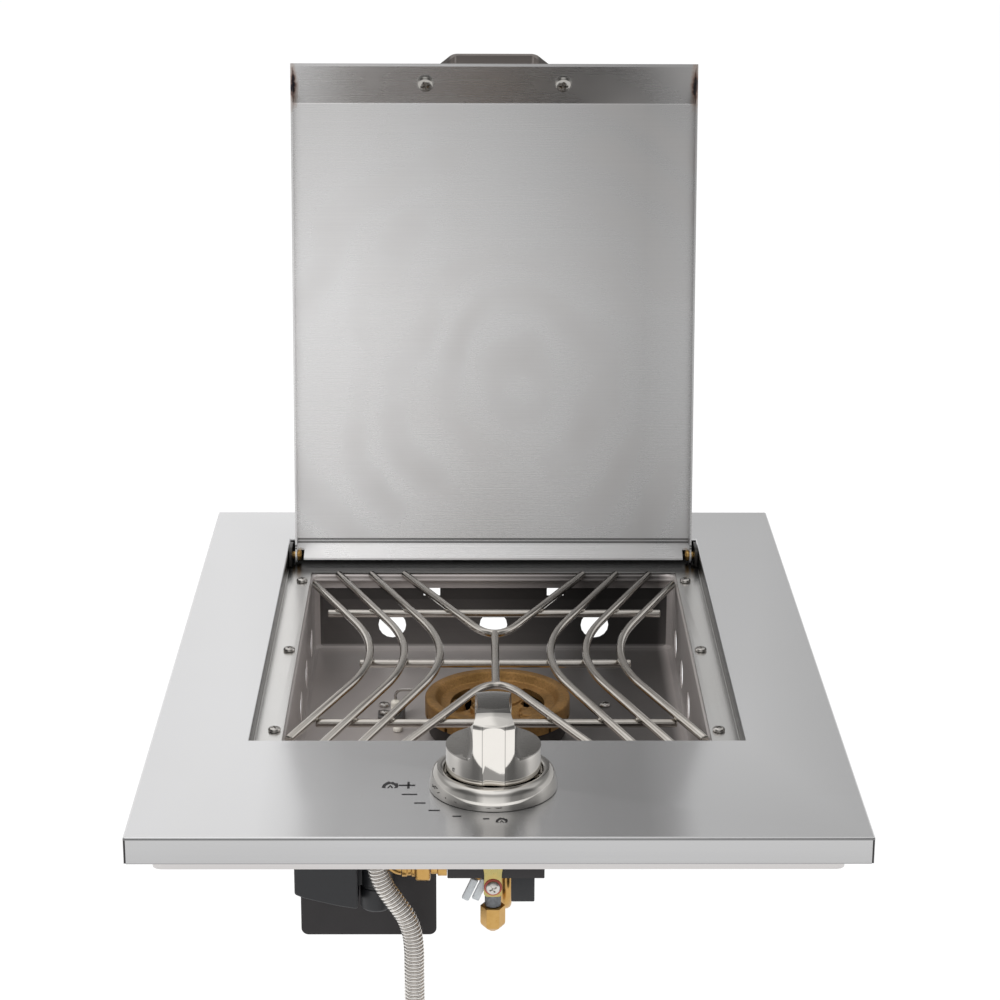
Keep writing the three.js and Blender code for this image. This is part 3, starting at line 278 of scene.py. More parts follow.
# Round wire or tube along drawn points, with its ends closed
def wirePiece(name, points, radius, sides=20, tip=0.0):
    curve = bpy.data.curves.new(name, "CURVE")
    curve.dimensions = "3D"
    curve.bevel_depth = radius * mm
    curve.bevel_resolution = sides // 4 - 1
    curve.use_fill_caps = True
    spline = curve.splines.new("POLY")
    path = [Vector(p) for p in points]
    widths = [1.0] * len(path)
    if tip:
        first, last = (path[1] - path[0]).normalized() * tip, (path[-2] - path[-1]).normalized() * tip
        path = [path[0], path[0] + first * 0.35, path[0] + first, *path[1:-1],
                path[-1] + last, path[-1] + last * 0.35, path[-1]]
        widths = [0.72, 0.92, *[1.0] * (len(path) - 4), 0.92, 0.72]
    spline.points.add(len(path) - 1)
    for point, place, width in zip(spline.points, path, widths):
        point.co = (*(place * mm), 1)
        point.radius = width
    piece = bpy.data.objects.new(name, curve)
    bpy.context.collection.objects.link(piece)
    pick(piece)
    bpy.ops.object.convert(target="MESH")
    piece = bpy.context.object
    outward(piece, 1e-7)
    smooth(piece, 40)
    return piece


def bentLine(start, corner, end, reach, steps=18):
    start, corner, end = Vector(start), Vector(corner), Vector(end)
    first = corner + (start - corner).normalized() * reach
    last = corner + (end - corner).normalized() * reach
    shares = [k / steps for k in range(steps + 1)]
    return [start, *[first * (1 - t) ** 2 + corner * 2 * t * (1 - t) + last * t ** 2 for t in shares], end]


slotOf = {}


# The finish, the body that carries the piece and the CAD nodes that it stands for
def finishPiece(piece, material, *nodes, body="burner_body", slot=None):
    piece.data.materials.clear()
    piece.data.materials.append(material)
    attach(piece, body)
    slot or slotOf[material.name]
    if nodes:
        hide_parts(*nodes)
    return piece


# Shader helpers: feed() puts a number, a colour or another node's output on a socket
def feed(tree, socket, value):
    if isinstance(value, bpy.types.NodeSocket):
        tree.links.new(value, socket)
    elif socket.type == "RGBA" and isinstance(value, tuple):
        socket.default_value = (*value, 1)
    elif value is not None:
        socket.default_value = value


def nodeOf(tree, kind, given=None, **values):
    node = tree.nodes.new(kind)
    for key, value in values.items():
        setattr(node, key, value)
    for key, value in (given or {}).items():
        feed(tree, node.inputs[key], value)
    return node


def mathNode(tree, operation, first, second=None, clamp=False):
    node = nodeOf(tree, "ShaderNodeMath", {0: first, 1: second}, operation=operation, use_clamp=clamp)
    return node.outputs[0]


def vectorNode(tree, operation, first, second=None):
    return nodeOf(tree, "ShaderNodeVectorMath", {0: first, 1: second}, operation=operation).outputs


def mixColour(tree, factor, first, second, blend="MIX"):
    given = {0: factor, 6: first, 7: second}
    return nodeOf(tree, "ShaderNodeMix", given, data_type="RGBA", blend_type=blend).outputs[2]


def rampNode(tree, value, stops):
    node = nodeOf(tree, "ShaderNodeValToRGB", {0: value})
    elements = node.color_ramp.elements
    while len(elements) < len(stops):
        elements.new(0.5)
    for element, (place, colour) in zip(elements, stops):
        element.position = place
        element.color = (*colour, 1) if isinstance(colour, tuple) else (colour, colour, colour, 1)
    return node.outputs[0]


def noise(tree, place, **values):
    return nodeOf(tree, "ShaderNodeTexNoise", {"Vector": place, **values}).outputs[0]


def objectPlace(tree):
    return nodeOf(tree, "ShaderNodeTexCoord").outputs["Object"]


def linear(code):
    channels = [int(code[i:i + 2], 16) / 255 for i in (1, 3, 5)]
    return tuple(c / 12.92 if c <= 0.04045 else ((c + 0.055) / 1.055) ** 2.4 for c in channels)


def newGroup(name, inputs):
    tree = bpy.data.node_groups.new(name, "ShaderNodeTree")
    for label, value in inputs.items():
        kind = "NodeSocketVector" if isinstance(value, tuple) else "NodeSocketFloat"
        tree.interface.new_socket(label, in_out="INPUT", socket_type=kind).default_value = value
    return tree, tree.nodes.new("NodeGroupInput").outputs


def endGroup(tree, **results):
    for label in results:
        kind = "NodeSocketColor" if label == "Colour" else "NodeSocketFloat"
        tree.interface.new_socket(label, in_out="OUTPUT", socket_type=kind)
    nodeOf(tree, "NodeGroupOutput", results)
    return tree


# Fine grain from a brushing belt: streaks along one axis, in patches of uneven strength
def buildBrushGrain():
    tree, given = newGroup("brushGrain", {"Stretch": (6, 900, 900), "Patch size": 9.0})
    place = objectPlace(tree)
    stretched = nodeOf(tree, "ShaderNodeMapping", {"Vector": place, "Scale": given["Stretch"]}).outputs[0]
    grain = noise(tree, stretched, Scale=1.0, Detail=5, Roughness=0.68)
    patches = noise(tree, place, Scale=given["Patch size"], Detail=3, Distortion=0.8)
    return endGroup(tree, Grain=grain, Patches=patches)


# Straw, brown and blue colours round a weld, by distance from one point
def buildHeatTint():
    tree, given = newGroup("heatTint", {"Centre": (0, 0, 0), "Squeeze": (1, 1, 1), "Reach": 0.02})
    place = objectPlace(tree)
    offset = vectorNode(tree, "SUBTRACT", place, given["Centre"])[0]
    squeezed = vectorNode(tree, "MULTIPLY", offset, given["Squeeze"])[0]
    length = vectorNode(tree, "LENGTH", squeezed)["Value"]
    ragged = mathNode(tree, "SUBTRACT", noise(tree, place, Scale=260, Detail=4), 0.5)
    ratio = mathNode(tree, "DIVIDE", length, given["Reach"])
    wavy = mathNode(tree, "ADD", ratio, mathNode(tree, "MULTIPLY", ragged, 0.9))
    colour = rampNode(tree, wavy, [
        (0.0, (0.012, 0.014, 0.028)), (0.30, (0.03, 0.022, 0.03)),
        (0.48, (0.22, 0.08, 0.035)), (1.0, (0.55, 0.38, 0.24)),
    ])
    amount = rampNode(tree, wavy, [(0.0, 1.0), (0.34, 0.92), (0.62, 0.40), (1.0, 0.0)])
    return endGroup(tree, Colour=colour, Amount=amount)


# Soft smears and wipe marks: wide arcs of slightly different gloss
def buildWipeMarks():
    tree, given = newGroup("wipeMarks", {"Centre": (0, 0, 0), "Rings": 30.0})
    place = objectPlace(tree)
    moved = nodeOf(tree, "ShaderNodeMapping", {"Vector": place, "Location": given["Centre"]}).outputs[0]
    rings = {"Vector": moved, "Scale": given["Rings"], "Distortion": 5, "Detail": 3, "Detail Scale": 1.4}
    wave = nodeOf(tree, "ShaderNodeTexWave", rings, wave_type="RINGS", rings_direction="Y")
    cloud = rampNode(tree, noise(tree, place, Scale=11, Detail=4), [(0.42, 0.0), (0.66, 1.0)])
    return endGroup(tree, Marks=mathNode(tree, "MULTIPLY", wave.outputs["Fac"], cloud))


# Pitted, grainy skin of a sand casting
def buildCastSkin():
    tree, given = newGroup("castSkin", {"Scale": 900.0})
    place = objectPlace(tree)
    grain = noise(tree, place, Scale=given["Scale"], Detail=6, Roughness=0.7)
    return endGroup(tree, Grain=grain, Stain=noise(tree, place, Scale=75, Detail=4))


brushGrain = buildBrushGrain()
heatTint = buildHeatTint()
wipeMarks = buildWipeMarks()
castSkin = buildCastSkin()


def placeGroup(tree, group, **values):
    given = {key.replace("_", " "): value for key, value in values.items()}
    node = nodeOf(tree, "ShaderNodeGroup", node_tree=group)
    for key, value in given.items():
        feed(tree, node.inputs[key], value)
    return node.outputs


def newMaterial(name, settings, metallic):
    material = bpy.data.materials.new(name)
    material.use_nodes = True
    sockets = material.node_tree.nodes["Principled BSDF"].inputs
    sockets["Metallic"].default_value = settings.get("metallic", metallic)
    sockets["Roughness"].default_value = settings["roughness"]
    slotOf[material.name] = settings["slot"]
    return material, material.node_tree, sockets


def bumpFrom(tree, sockets, height, strength, distance):
    bump = nodeOf(tree, "ShaderNodeBump", {"Strength": strength, "Distance": distance, "Height": height})
    feed(tree, sockets["Normal"], bump.outputs[0])


# A number that swings round a middle value with a pattern
def around(tree, pattern, middle, swing):
    offset = mathNode(tree, "MULTIPLY", mathNode(tree, "SUBTRACT", pattern, 0.5), 2 * swing)
    return mathNode(tree, "ADD", offset, middle, clamp=True)


# Steps of grey along one axis, from low to high in metres, and where they hold:
# all over the piece, or only between two depths
def rampAlong(tree, axis, low, high, stops, depths=None):
    split = nodeOf(tree, "ShaderNodeSeparateXYZ", {0: objectPlace(tree)}).outputs
    share = mathNode(tree, "DIVIDE", mathNode(tree, "SUBTRACT", split[axis], low), high - low, clamp=True)
    mask = 1.0
    if depths:
        behind = mathNode(tree, "GREATER_THAN", split["Y"], depths[0])
        mask = mathNode(tree, "MULTIPLY", behind, mathNode(tree, "LESS_THAN", split["Y"], depths[1]))
    return rampNode(tree, share, stops), mask


def brushedMetal(name, settings):
    material, tree, sockets = newMaterial(name, settings, 1.0)
    sockets["Anisotropic"].default_value = settings.get("streak", 0.0)
    size = settings.get("patchSize", 9.0)
    grain = placeGroup(tree, brushGrain, Stretch=settings["stretch"], Patch_size=size)
    tone = mixColour(tree, grain["Grain"], linear(settings["dark"]), linear(settings["light"]))
    patches = mathNode(tree, "MULTIPLY", grain["Patches"], settings.get("patchTint", 0.25))
    tone = mixColour(tree, patches, tone, linear(settings.get("patch", settings["dark"])))
    # Painted shade and painted reflections: each entry darkens the base colour along one axis
    for line in settings.get("paintedShades", []):
        paintedShade, mask = rampAlong(tree, *line)
        tone = mixColour(tree, mask, tone, paintedShade, "MULTIPLY")
    rough = around(tree, grain["Grain"], settings["roughness"], settings.get("roughSwing", 0.06))
    for tint in settings.get("tints", []):
        heat = placeGroup(tree, heatTint, **tint)
        tone = mixColour(tree, heat["Amount"], tone, heat["Colour"])
        rough = mathNode(tree, "ADD", rough, mathNode(tree, "MULTIPLY", heat["Amount"], 0.18))
    if "wipes" in settings:
        wipes = settings["wipes"]
        marks = placeGroup(tree, wipeMarks, Centre=wipes["centre"], Rings=wipes["rings"])["Marks"]
        rough = mathNode(tree, "ADD", rough, mathNode(tree, "MULTIPLY", marks, wipes["gloss"]))
        share = mathNode(tree, "MULTIPLY", marks, wipes["tint"])
        tone = mixColour(tree, share, tone, linear(wipes["colour"]))
    if "metal" in settings:
        feed(tree, sockets["Metallic"], rampAlong(tree, *settings["metal"])[0])
    feed(tree, sockets["Base Color"], tone)
    feed(tree, sockets["Roughness"], rough)
    bumpFrom(tree, sockets, grain["Grain"], settings.get("bump", 0.12), 0.00004)
    if "tangent" in settings:
        along = nodeOf(tree, "ShaderNodeCombineXYZ", dict(enumerate(settings["tangent"])))
        feed(tree, sockets["Tangent"], along.outputs[0])
    return material


# Cast metal shows pits and stains; moulded and painted skins are plainer
def grainySkin(name, settings):
    material, tree, sockets = newMaterial(name, settings, 0.0)
    skin = placeGroup(tree, castSkin, Scale=settings["scale"])
    cast = "pit" in settings
    share = rampNode(tree, skin["Stain"], [(0.3, 0.0), (0.7, 1.0)]) if cast else skin["Stain"]
    tone = mixColour(tree, share, linear(settings["dark"]), linear(settings["light"]))
    if cast:
        pits = rampNode(tree, skin["Grain"], [(0.35, 0.5), (0.55, 0.0)])
        tone = mixColour(tree, pits, tone, linear(settings["pit"]))
    pattern, swing = (skin["Grain"], 0.12) if cast else (skin["Stain"], 0.08)
    feed(tree, sockets["Base Color"], tone)
    feed(tree, sockets["Roughness"], around(tree, pattern, settings["roughness"], swing))
    bumpFrom(tree, sockets, skin["Grain"], settings["bump"], settings["bumpDepth"])
    return material


# Finishes. A painted shade is (axis, from, to, stops, depths), in metres of the frame; it darkens the base
# colour to stand for shade and dark reflections
panelSteel = brushedMetal("panelSteel", {
    "slot": "brushed_sheet", "light": "#f8f8f9", "dark": "#ededee", "patch": "#e8e6e4", "patchTint": 0.25,
    "roughness": 0.25, "roughSwing": 0.025, "stretch": (7, 1300, 1300), "streak": 0.84,
    "tangent": (0, 1, 1), "bump": 0.035,
    # Painted shade and painted reflections: the flanges are darker, with a painted dark line under the top
    # fold, and a darker band across the middle of the panel's front stands for the open lid's reflection
    "paintedShades": [
        ("Z", 0.0, 0.0145, [
            (0.0, 0.35), (0.05, 0.57), (0.88, 0.61), (0.925, 0.30), (0.965, 0.35), (0.99, 1.0),
        ]),
        ("X", -0.1905, 0.1905, [
            (0.0, 1.0), (0.17, 1.0), (0.29, 0.79), (0.50, 0.79), (0.64, 0.71), (0.70, 0.73), (0.77, 1.0),
        ], (-0.2605, -0.137)),
    ],
})
recessSteel = brushedMetal("recessSteel", {
    "slot": "brushed_sheet", "light": "#fcfcfb", "dark": "#eeedeb", "patch": "#dcd2c6", "patchTint": 0.3,
    "roughness": 0.26, "roughSwing": 0.03, "stretch": (900, 7, 900), "bump": 0.05,
    # Painted shade: the recess walls are darkened between ledge and rim, and the ledge behind the opening is
    # darkened
    "paintedShades": [
        ("Z", 0.0030, 0.0145, [
            (0.0, 1.0), (0.055, 0.95), (0.10, 0.20), (0.45, 0.36), (0.62, 0.14), (0.86, 0.22), (0.93, 0.9),
        ]),
        ("Y", 0.140, 0.1740, [(0.0, 1.0), (0.45, 0.95), (0.80, 0.30), (0.86, 0.20), (1.0, 0.16)]),
    ],
})
rimHeat = {"Squeeze": (1, 0.15, 0.21), "Reach": 0.0038}
lidSteel = brushedMetal("lidSteel", {
    "slot": "brushed_sheet", "light": "#fbfbfb", "dark": "#ededee", "patch": "#e2dbd6", "patchTint": 0.30,
    "roughness": 0.27, "roughSwing": 0.03, "stretch": (7, 1100, 1100), "streak": 0.66,
    "tangent": (0, 0, 1), "bump": 0.04,
    "wipes": {"centre": (-0.02, 0, -0.12), "rings": 9.0, "gloss": 0.06, "tint": 0.10, "colour": "#e0d8d2"},
    # Painted reflections and shade: the lid darkens from left to right, a painted dark double line runs just
    # above its lower bend, and the top is darker
    "paintedShades": [
        ("X", -0.132, 0.132, [(0.0, 1.0), (0.12, 1.0), (0.5, 0.80), (0.88, 0.56), (1.0, 0.60)]),
        ("Z", 0.0140, 0.0175, [
            (0.0, 1.0), (0.03, 0.22), (0.28, 0.25), (0.36, 0.9), (0.46, 0.9), (0.54, 0.25), (0.80, 0.22),
            (0.9, 1.0),
        ]),
        ("Z", 0.100, 0.306, [(0.0, 1.0), (0.35, 1.0), (1.0, 0.76)]),
    ],
    "tints": [{"Centre": (side * 0.1312, 0.2375, 0.3159), **rimHeat} for side in (-1, 1)],
    "metal": ("Z", 0.006, 0.106, [(0.0, 0.5), (0.07, 0.5), (0.08, 0.82), (0.4, 0.88), (1.0, 1.0)]),
})
handleSteel = brushedMetal("handleSteel", {
    "slot": "brushed_sheet", "light": "#8f8b88", "dark": "#7a7674", "patch": "#8a7a70", "patchTint": 0.4,
    "roughness": 0.30, "stretch": (7, 700, 700), "bump": 0.05,
    # Painted shade: the handle's legs and feet are darkened
    "paintedShades": [("X", -0.045, 0.045, [
        (0.0, 0.35), (0.17, 0.40), (0.19, 1.0), (0.81, 1.0), (0.83, 0.40), (1.0, 0.35),
    ])],
})
innerSteel = brushedMetal("innerSteel", {
    "slot": "inner_sheet", "metallic": 0.5, "light": "#d6d2d0", "dark": "#c2bdbb", "patch": "#9a8880",
    "patchTint": 0.45, "roughness": 0.36, "stretch": (9, 9, 900), "bump": 0.06,
    # Painted shade: the box floor darkens towards the right side, and painted dark bands run across the rear
    # wall
    "paintedShades": [
        ("X", -0.119, 0.119, [(0.0, 1.0), (0.45, 0.90), (0.75, 0.24), (0.96, 0.30), (0.985, 1.0)]),
        ("Z", -0.0520, 0.0030, [
            (0.0, 0.50), (0.04, 0.9), (0.10, 0.30), (0.66, 0.17), (0.67, 0.12), (0.81, 0.12), (0.82, 0.45),
            (0.85, 0.5), (0.86, 1.0),
        ], (0.1675, 0.3)),
    ],
})
frameSteel = brushedMetal("frameSteel", {
    "slot": "brushed_sheet", "light": "#d8d5d4", "dark": "#c6c3c2", "roughness": 0.34,
    "stretch": (7, 1200, 1200), "bump": 0.05,
})
bracketSteel = brushedMetal("bracketSteel", {
    "slot": "screw_steel", "light": "#8f8c8b", "dark": "#747170", "roughness": 0.32,
    "stretch": (800, 9, 9), "bump": 0.08,
})
# Painted shade: the hinge ears' steel is given a dark colour for the shadow they stand in
hingeSteelShadowed = brushedMetal("hingeSteelShadowed", {
    "slot": "brushed_sheet", "light": "#5a5856", "dark": "#3f3d3c", "roughness": 0.34,
    "stretch": (9, 9, 800), "bump": 0.08,
})
wireSteel = brushedMetal("wireSteel", {
    "slot": "wire", "light": "#e2dfda", "dark": "#c6c1ba", "patch": "#a4937f", "patchTint": 0.35,
    "roughness": 0.17, "stretch": (240, 240, 240), "patchSize": 40.0, "bump": 0.05,
})
screwSteel = brushedMetal("screwSteel", {
    "slot": "screw_steel", "light": "#dfdcd8", "dark": "#bcb7b1", "roughness": 0.18,
    "stretch": (500, 500, 500), "patchSize": 120.0, "bump": 0.05,
})
hoseSteel = brushedMetal("hoseSteel", {
    "slot": "wire", "metallic": 0.72, "light": "#f2f0ed", "dark": "#e0dcd7", "patch": "#c9beb2",
    "roughness": 0.20, "stretch": (300, 300, 300), "patchSize": 60.0, "bump": 0.05,
})
nickel = {
    "slot": "polished", "light": "#ebe8e3", "dark": "#e3dfd9", "patch": "#dcd6cc", "patchTint": 0.2,
    "roughness": 0.06, "roughSwing": 0.015, "stretch": (60, 60, 60), "patchSize": 30.0, "bump": 0.006,
}
# Painted reflection: the bezel's left and right sides are darkened
polishedNickel = brushedMetal("polishedNickel", {**nickel, "paintedShades": [
    ("X", -0.0367, 0.0313, [(0.0, 0.5), (0.22, 0.62), (0.38, 1.0), (0.62, 1.0), (0.78, 0.62), (1.0, 0.5)]),
]})
# Painted reflections: the knob's flat top is darker, with a darker band round the scoop shoulders and two
# painted dark lines at the edges of the front flat
knobNickel = brushedMetal("knobNickel", {**nickel, "paintedShades": [
    ("Z", 0.0585, 0.0615, [(0.0, 1.0), (0.25, 0.45), (0.6, 0.24), (1.0, 0.28)], (-0.2098, 0.3)),
    ("Z", 0.0376, 0.0425, [(0.0, 1.0), (0.1, 0.5), (0.25, 0.5), (1.0, 1.0)], (-0.2192, 0.3)),
    ("X", -0.0095, 0.0041, [
        (0.0, 1.0), (0.04, 1.0), (0.066, 0.4), (0.09, 1.0), (0.91, 1.0), (0.934, 0.4), (0.96, 1.0),
    ], (-0.3, -0.2215)),
]})
brightBrass = brushedMetal("brightBrass", {
    "slot": "brass", "light": "#dcb778", "dark": "#bd9350", "patch": "#a57a3c", "patchTint": 0.5,
    "roughness": 0.30, "roughSwing": 0.1, "stretch": (420, 420, 420), "patchSize": 90.0, "bump": 0.15,
})
greyZinc = brushedMetal("greyZinc", {
    "slot": "zinc", "light": "#b4b7bb", "dark": "#8b8e93", "roughness": 0.38, "stretch": (350, 350, 900),
    "patchSize": 90.0,
})
yellowZinc = brushedMetal("yellowZinc", {
    "slot": "yellow_zinc", "light": "#d9bd74", "dark": "#b99a58", "patch": "#8fa07a", "patchTint": 0.75,
    "roughness": 0.28, "stretch": (260, 260, 260), "patchSize": 160.0,
})
castBrass = grainySkin("castBrass", {
    "slot": "cast_brass", "light": "#c0945c", "dark": "#93703f", "pit": "#64482a", "metallic": 0.75,
    "roughness": 0.46, "scale": 800.0, "bump": 0.55, "bumpDepth": 0.0004,
})
machinedBrass = grainySkin("machinedBrass", {
    "slot": "brass", "light": "#b28c55", "dark": "#8f6c3c", "pit": "#6b4c28", "metallic": 0.9,
    "roughness": 0.36, "scale": 1500.0, "bump": 0.15, "bumpDepth": 0.0001,
})
castIron = grainySkin("castIron", {
    "slot": "black_steel", "light": "#4a4542", "dark": "#332f2e", "pit": "#221f1e", "metallic": 0.5,
    "roughness": 0.6, "scale": 700.0, "bump": 0.45, "bumpDepth": 0.0003,
})
blackSteel = grainySkin("blackSteel", {
    "slot": "black_steel", "light": "#322f30", "dark": "#242122", "metallic": 0.3,
    "roughness": 0.42, "scale": 1400.0, "bump": 0.10, "bumpDepth": 0.00008,
})
blackPlastic = grainySkin("blackPlastic", {
    "slot": "black_plastic", "light": "#26272b", "dark": "#17181b",
    "roughness": 0.44, "scale": 1600.0, "bump": 0.12, "bumpDepth": 0.00008,
})
whitePlastic = grainySkin("whitePlastic", {
    "slot": "white_plastic", "light": "#e0e3e6", "dark": "#ccd2d6",
    "roughness": 0.4, "scale": 900.0, "bump": 0.05, "bumpDepth": 0.0001,
})
porcelain = grainySkin("porcelain", {
    "slot": "porcelain", "light": "#ece8df", "dark": "#d8d2c6",
    "roughness": 0.22, "scale": 700.0, "bump": 0.03, "bumpDepth": 0.0001,
})
redPaint = grainySkin("redPaint", {
    "slot": "red_paint", "light": "#c8604c", "dark": "#a8463a",
    "roughness": 0.35, "scale": 500.0, "bump": 0.25, "bumpDepth": 0.0002,
})
printInk = grainySkin("printInk", {
    "slot": "black_plastic", "light": "#1c1b1d", "dark": "#121113",
    "roughness": 0.5, "scale": 1500.0, "bump": 0.03, "bumpDepth": 0.00005,
})
print("finishes made")


def intoFrame(piece, where=(0, 0, 0), turns=()):
    return settle(piece, spot(*where), turns)


# A part made by turning alone, softened if wanted, and put in its place
def turnedPart(name, node, finish, profile, where, turns=(), soft=None, sides=48, corner=0.3, **how):
    piece = turnedPiece(name, profile, sides, corner, **how)
    if soft:
        softenEdges(piece, *soft)
    nodes = [node] if node else []
    return finishPiece(intoFrame(piece, where, turns), finish, *nodes)


# Blocks of (low, high, edge, segments) joined into one piece
def blockPart(name, node, finish, *blocks):
    return finishPiece(intoFrame(joined(name, *[boxPiece(name, *block) for block in blocks])), finish, node)


# The hose under the panel
hose = {
    "route": [
        (-65.2, 60, -26), (-65.2, 60, -37), (-64.05, 60, -47.1), (-60.65, 60, -56.7), (-55.2, 60, -65.3),
        (-49.7, 60, -73.9), (-46.3, 60, -83.5), (-45.1, 60, -93.6), (-45, 60, -106), (-44.9, 60, -119),
        (-44.7, 60, -133), (-44.2, 60, -148), (-43.3, 60, -164), (-41.8, 60, -180), (-40.6, 60, -195),
        (-40.1, 60, -208), (-40, 60, -220), (-40, 60, -231),
    ],
    "diameter": 11, "pitch": 2.05, "valley": 0.80, "bore": 0.62, "sides": 28, "ringsPerRib": 8,
    "crestPower": 0.75, "length": 0.210, "endGap": 0.3,
    # Darker colour for the valleys between the ribs, by rib height
    "valleyTone": "#786b5f", "valleyToneByRise": [(0.0, 1.0), (0.22, 0.45), (0.45, 0.0)],
    "collar": [(3.4, -9), (7.2, -9), (7.2, 0), (5.6, 0), (3.4, 0)],
    "nut": [(3.4, -8), (9.6, -8), (10.6, -9.4), (10.6, -20.6), (9.6, -22), (7, -22), (7, -14), (3.4, -14)],
    "ring": [(6.2, -22), (9.0, -22), (9.0, -21.2), (6.2, -21.2)],
}


def between(first, second, start, end, t):
    return first * ((end - t) / (end - start)) + second * ((t - start) / (end - start))


# Smooth line through the points, in even steps along its length
def evenLine(points, step, fineness=40):
    points = [Vector(p) for p in points]
    points = [2 * points[0] - points[1], *points, 2 * points[-1] - points[-2]]
    dense = []
    for p0, p1, p2, p3 in zip(points, points[1:], points[2:], points[3:]):
        t1 = (p1 - p0).length ** 0.5
        t2 = t1 + (p2 - p1).length ** 0.5
        t3 = t2 + (p3 - p2).length ** 0.5
        for k in range(fineness):
            t = t1 + (t2 - t1) * k / fineness
            a1, a2, a3 = between(p0, p1, 0, t1, t), between(p1, p2, t1, t2, t), between(p2, p3, t2, t3, t)
            dense.append(between(between(a1, a2, 0, t2, t), between(a2, a3, t1, t3, t), t1, t2, t))
    dense.append(points[-2])
    total = sum((b - a).length for a, b in zip(dense, dense[1:]))
    count = max(2, round(total / step))
    line, walked, i = [dense[0]], 0.0, 0
    for k in range(1, count):
        target = total * k / count
        while walked + (dense[i + 1] - dense[i]).length < target:
            walked += (dense[i + 1] - dense[i]).length
            i += 1
        gap = dense[i + 1] - dense[i]
        line.append(dense[i] + gap * ((target - walked) / gap.length))
    return [*line, dense[-1]], total


def makeHose():
    sides, perRib, valley = hose["sides"], hose["ringsPerRib"], hose["valley"]
    total = evenLine(hose["route"], 1)[1]
    line = evenLine(hose["route"], total / round(total / hose["pitch"]) / perRib)[0]
    mesh = bmesh.new()
    rise = mesh.verts.layers.float.new("ribRise")
    ahead = Vector((0, 1, 0))

    def ring(index, share, height):
        before, after = line[max(index - 1, 0)], line[min(index + 1, len(line) - 1)]
        across = ahead.cross((after - before).normalized()).normalized()
        made = []
        for k in range(sides):
            turn = 2 * pi * k / sides
            reach = (across * cos(turn) + ahead * sin(turn)) * (hose["diameter"] / 2) * share
            vertex = mesh.verts.new(spot(*(line[index] + reach)))
            vertex[rise] = height
            made.append(vertex)
        return made

    rings = []
    for i in range(len(line)):
        crest = sin(pi * (i % perRib) / perRib) ** hose["crestPower"] if i % perRib else 0.0
        rings.append(ring(i, valley + (1 - valley) * crest, crest))
    for i in range(len(line) - 1, -1, -perRib):
        rings.append(ring(i, hose["bore"], 0.0))
    for first, second in zip(rings, [*rings[1:], rings[0]]):
        for k in range(sides):
            mesh.faces.new((first[k], second[k], second[(k + 1) % sides], first[(k + 1) % sides]))
    data = bpy.data.meshes.new("gasHoseRibbed")
    mesh.to_mesh(data)
    mesh.free()
    piece = bpy.data.objects.new("gasHoseRibbed", data)
    bpy.context.collection.objects.link(piece)
    outward(piece, 1e-8)
    smooth(piece, 60)
    return piece, line


# Darker colour in the valleys between the ribs
def addHoseValleyTone():
    tree = hoseSteel.node_tree
    socket = tree.nodes["Principled BSDF"].inputs["Base Color"]
    height = nodeOf(tree, "ShaderNodeAttribute", attribute_name="ribRise").outputs["Fac"]
    valleyTone = rampNode(tree, height, hose["valleyToneByRise"])
    feed(tree, socket, mixColour(tree, valleyTone, socket.links[0].from_socket, linear(hose["valleyTone"])))


def makeHoseEnd():
    collar = turnedPiece("hoseEndCollar", hose["collar"], 48, 0.5, ring=True)
    nut = turnedPiece("hoseEndNut", hose["nut"], 6, ring=True)
    softenEdges(nut, 0.5, 2)
    ring = turnedPiece("hoseEndRing", hose["ring"], 48, 0.3, ring=True)
    x, y, z = hose["route"][-1]
    return intoFrame(joined("hoseEndNutted", nut, collar, ring), (x, y, z - hose["endGap"]))


addHoseValleyTone()
ribbedHose, hoseLine = makeHose()
finishPiece(ribbedHose, hoseSteel, "gas_hose")
hoseEnd = finishPiece(makeHoseEnd(), brightBrass, "hose_end_fitting")
tuple(spot(*hose["route"][0]))
[tuple(spot(*p)) for p in hoseLine]
print("hose made")

# Knob with its scooped sides, and the bezel round it
knob = {
    "place": (-2.7, 64.5, 0), "ridgeHalf": 8.3, "flareFront": 2.0, "flareBack": 1.1, "shoulder": 24,
    "fillet": 4, "reach": 45, "frontFlat": 24.4, "chamferStart": (0, -12.5, 46.75), "slope": 0.275,
    "profile": [
        (0, 30, 0), (3.3, 30, 0), (3.3, 8.5, 0), (25.1, 8.5, 0.8), (25.1, 43.8, 3.2), (18.1, 45.5, 5),
        (10.1, 46.65, 6), (0, 47, 0),
    ],
    "bezel": [
        (8, 0.3, 0), (8, 3, 0.4), (26.2, 3, 1.2), (26.2, 10.2, 0.8), (27.8, 11.1, 1.2), (30.6, 10.5, 2),
        (32.4, 8.6, 2), (33.3, 5.8, 2), (33.9, 2.8, 2), (34, 0.3, 0.2),
    ],
}


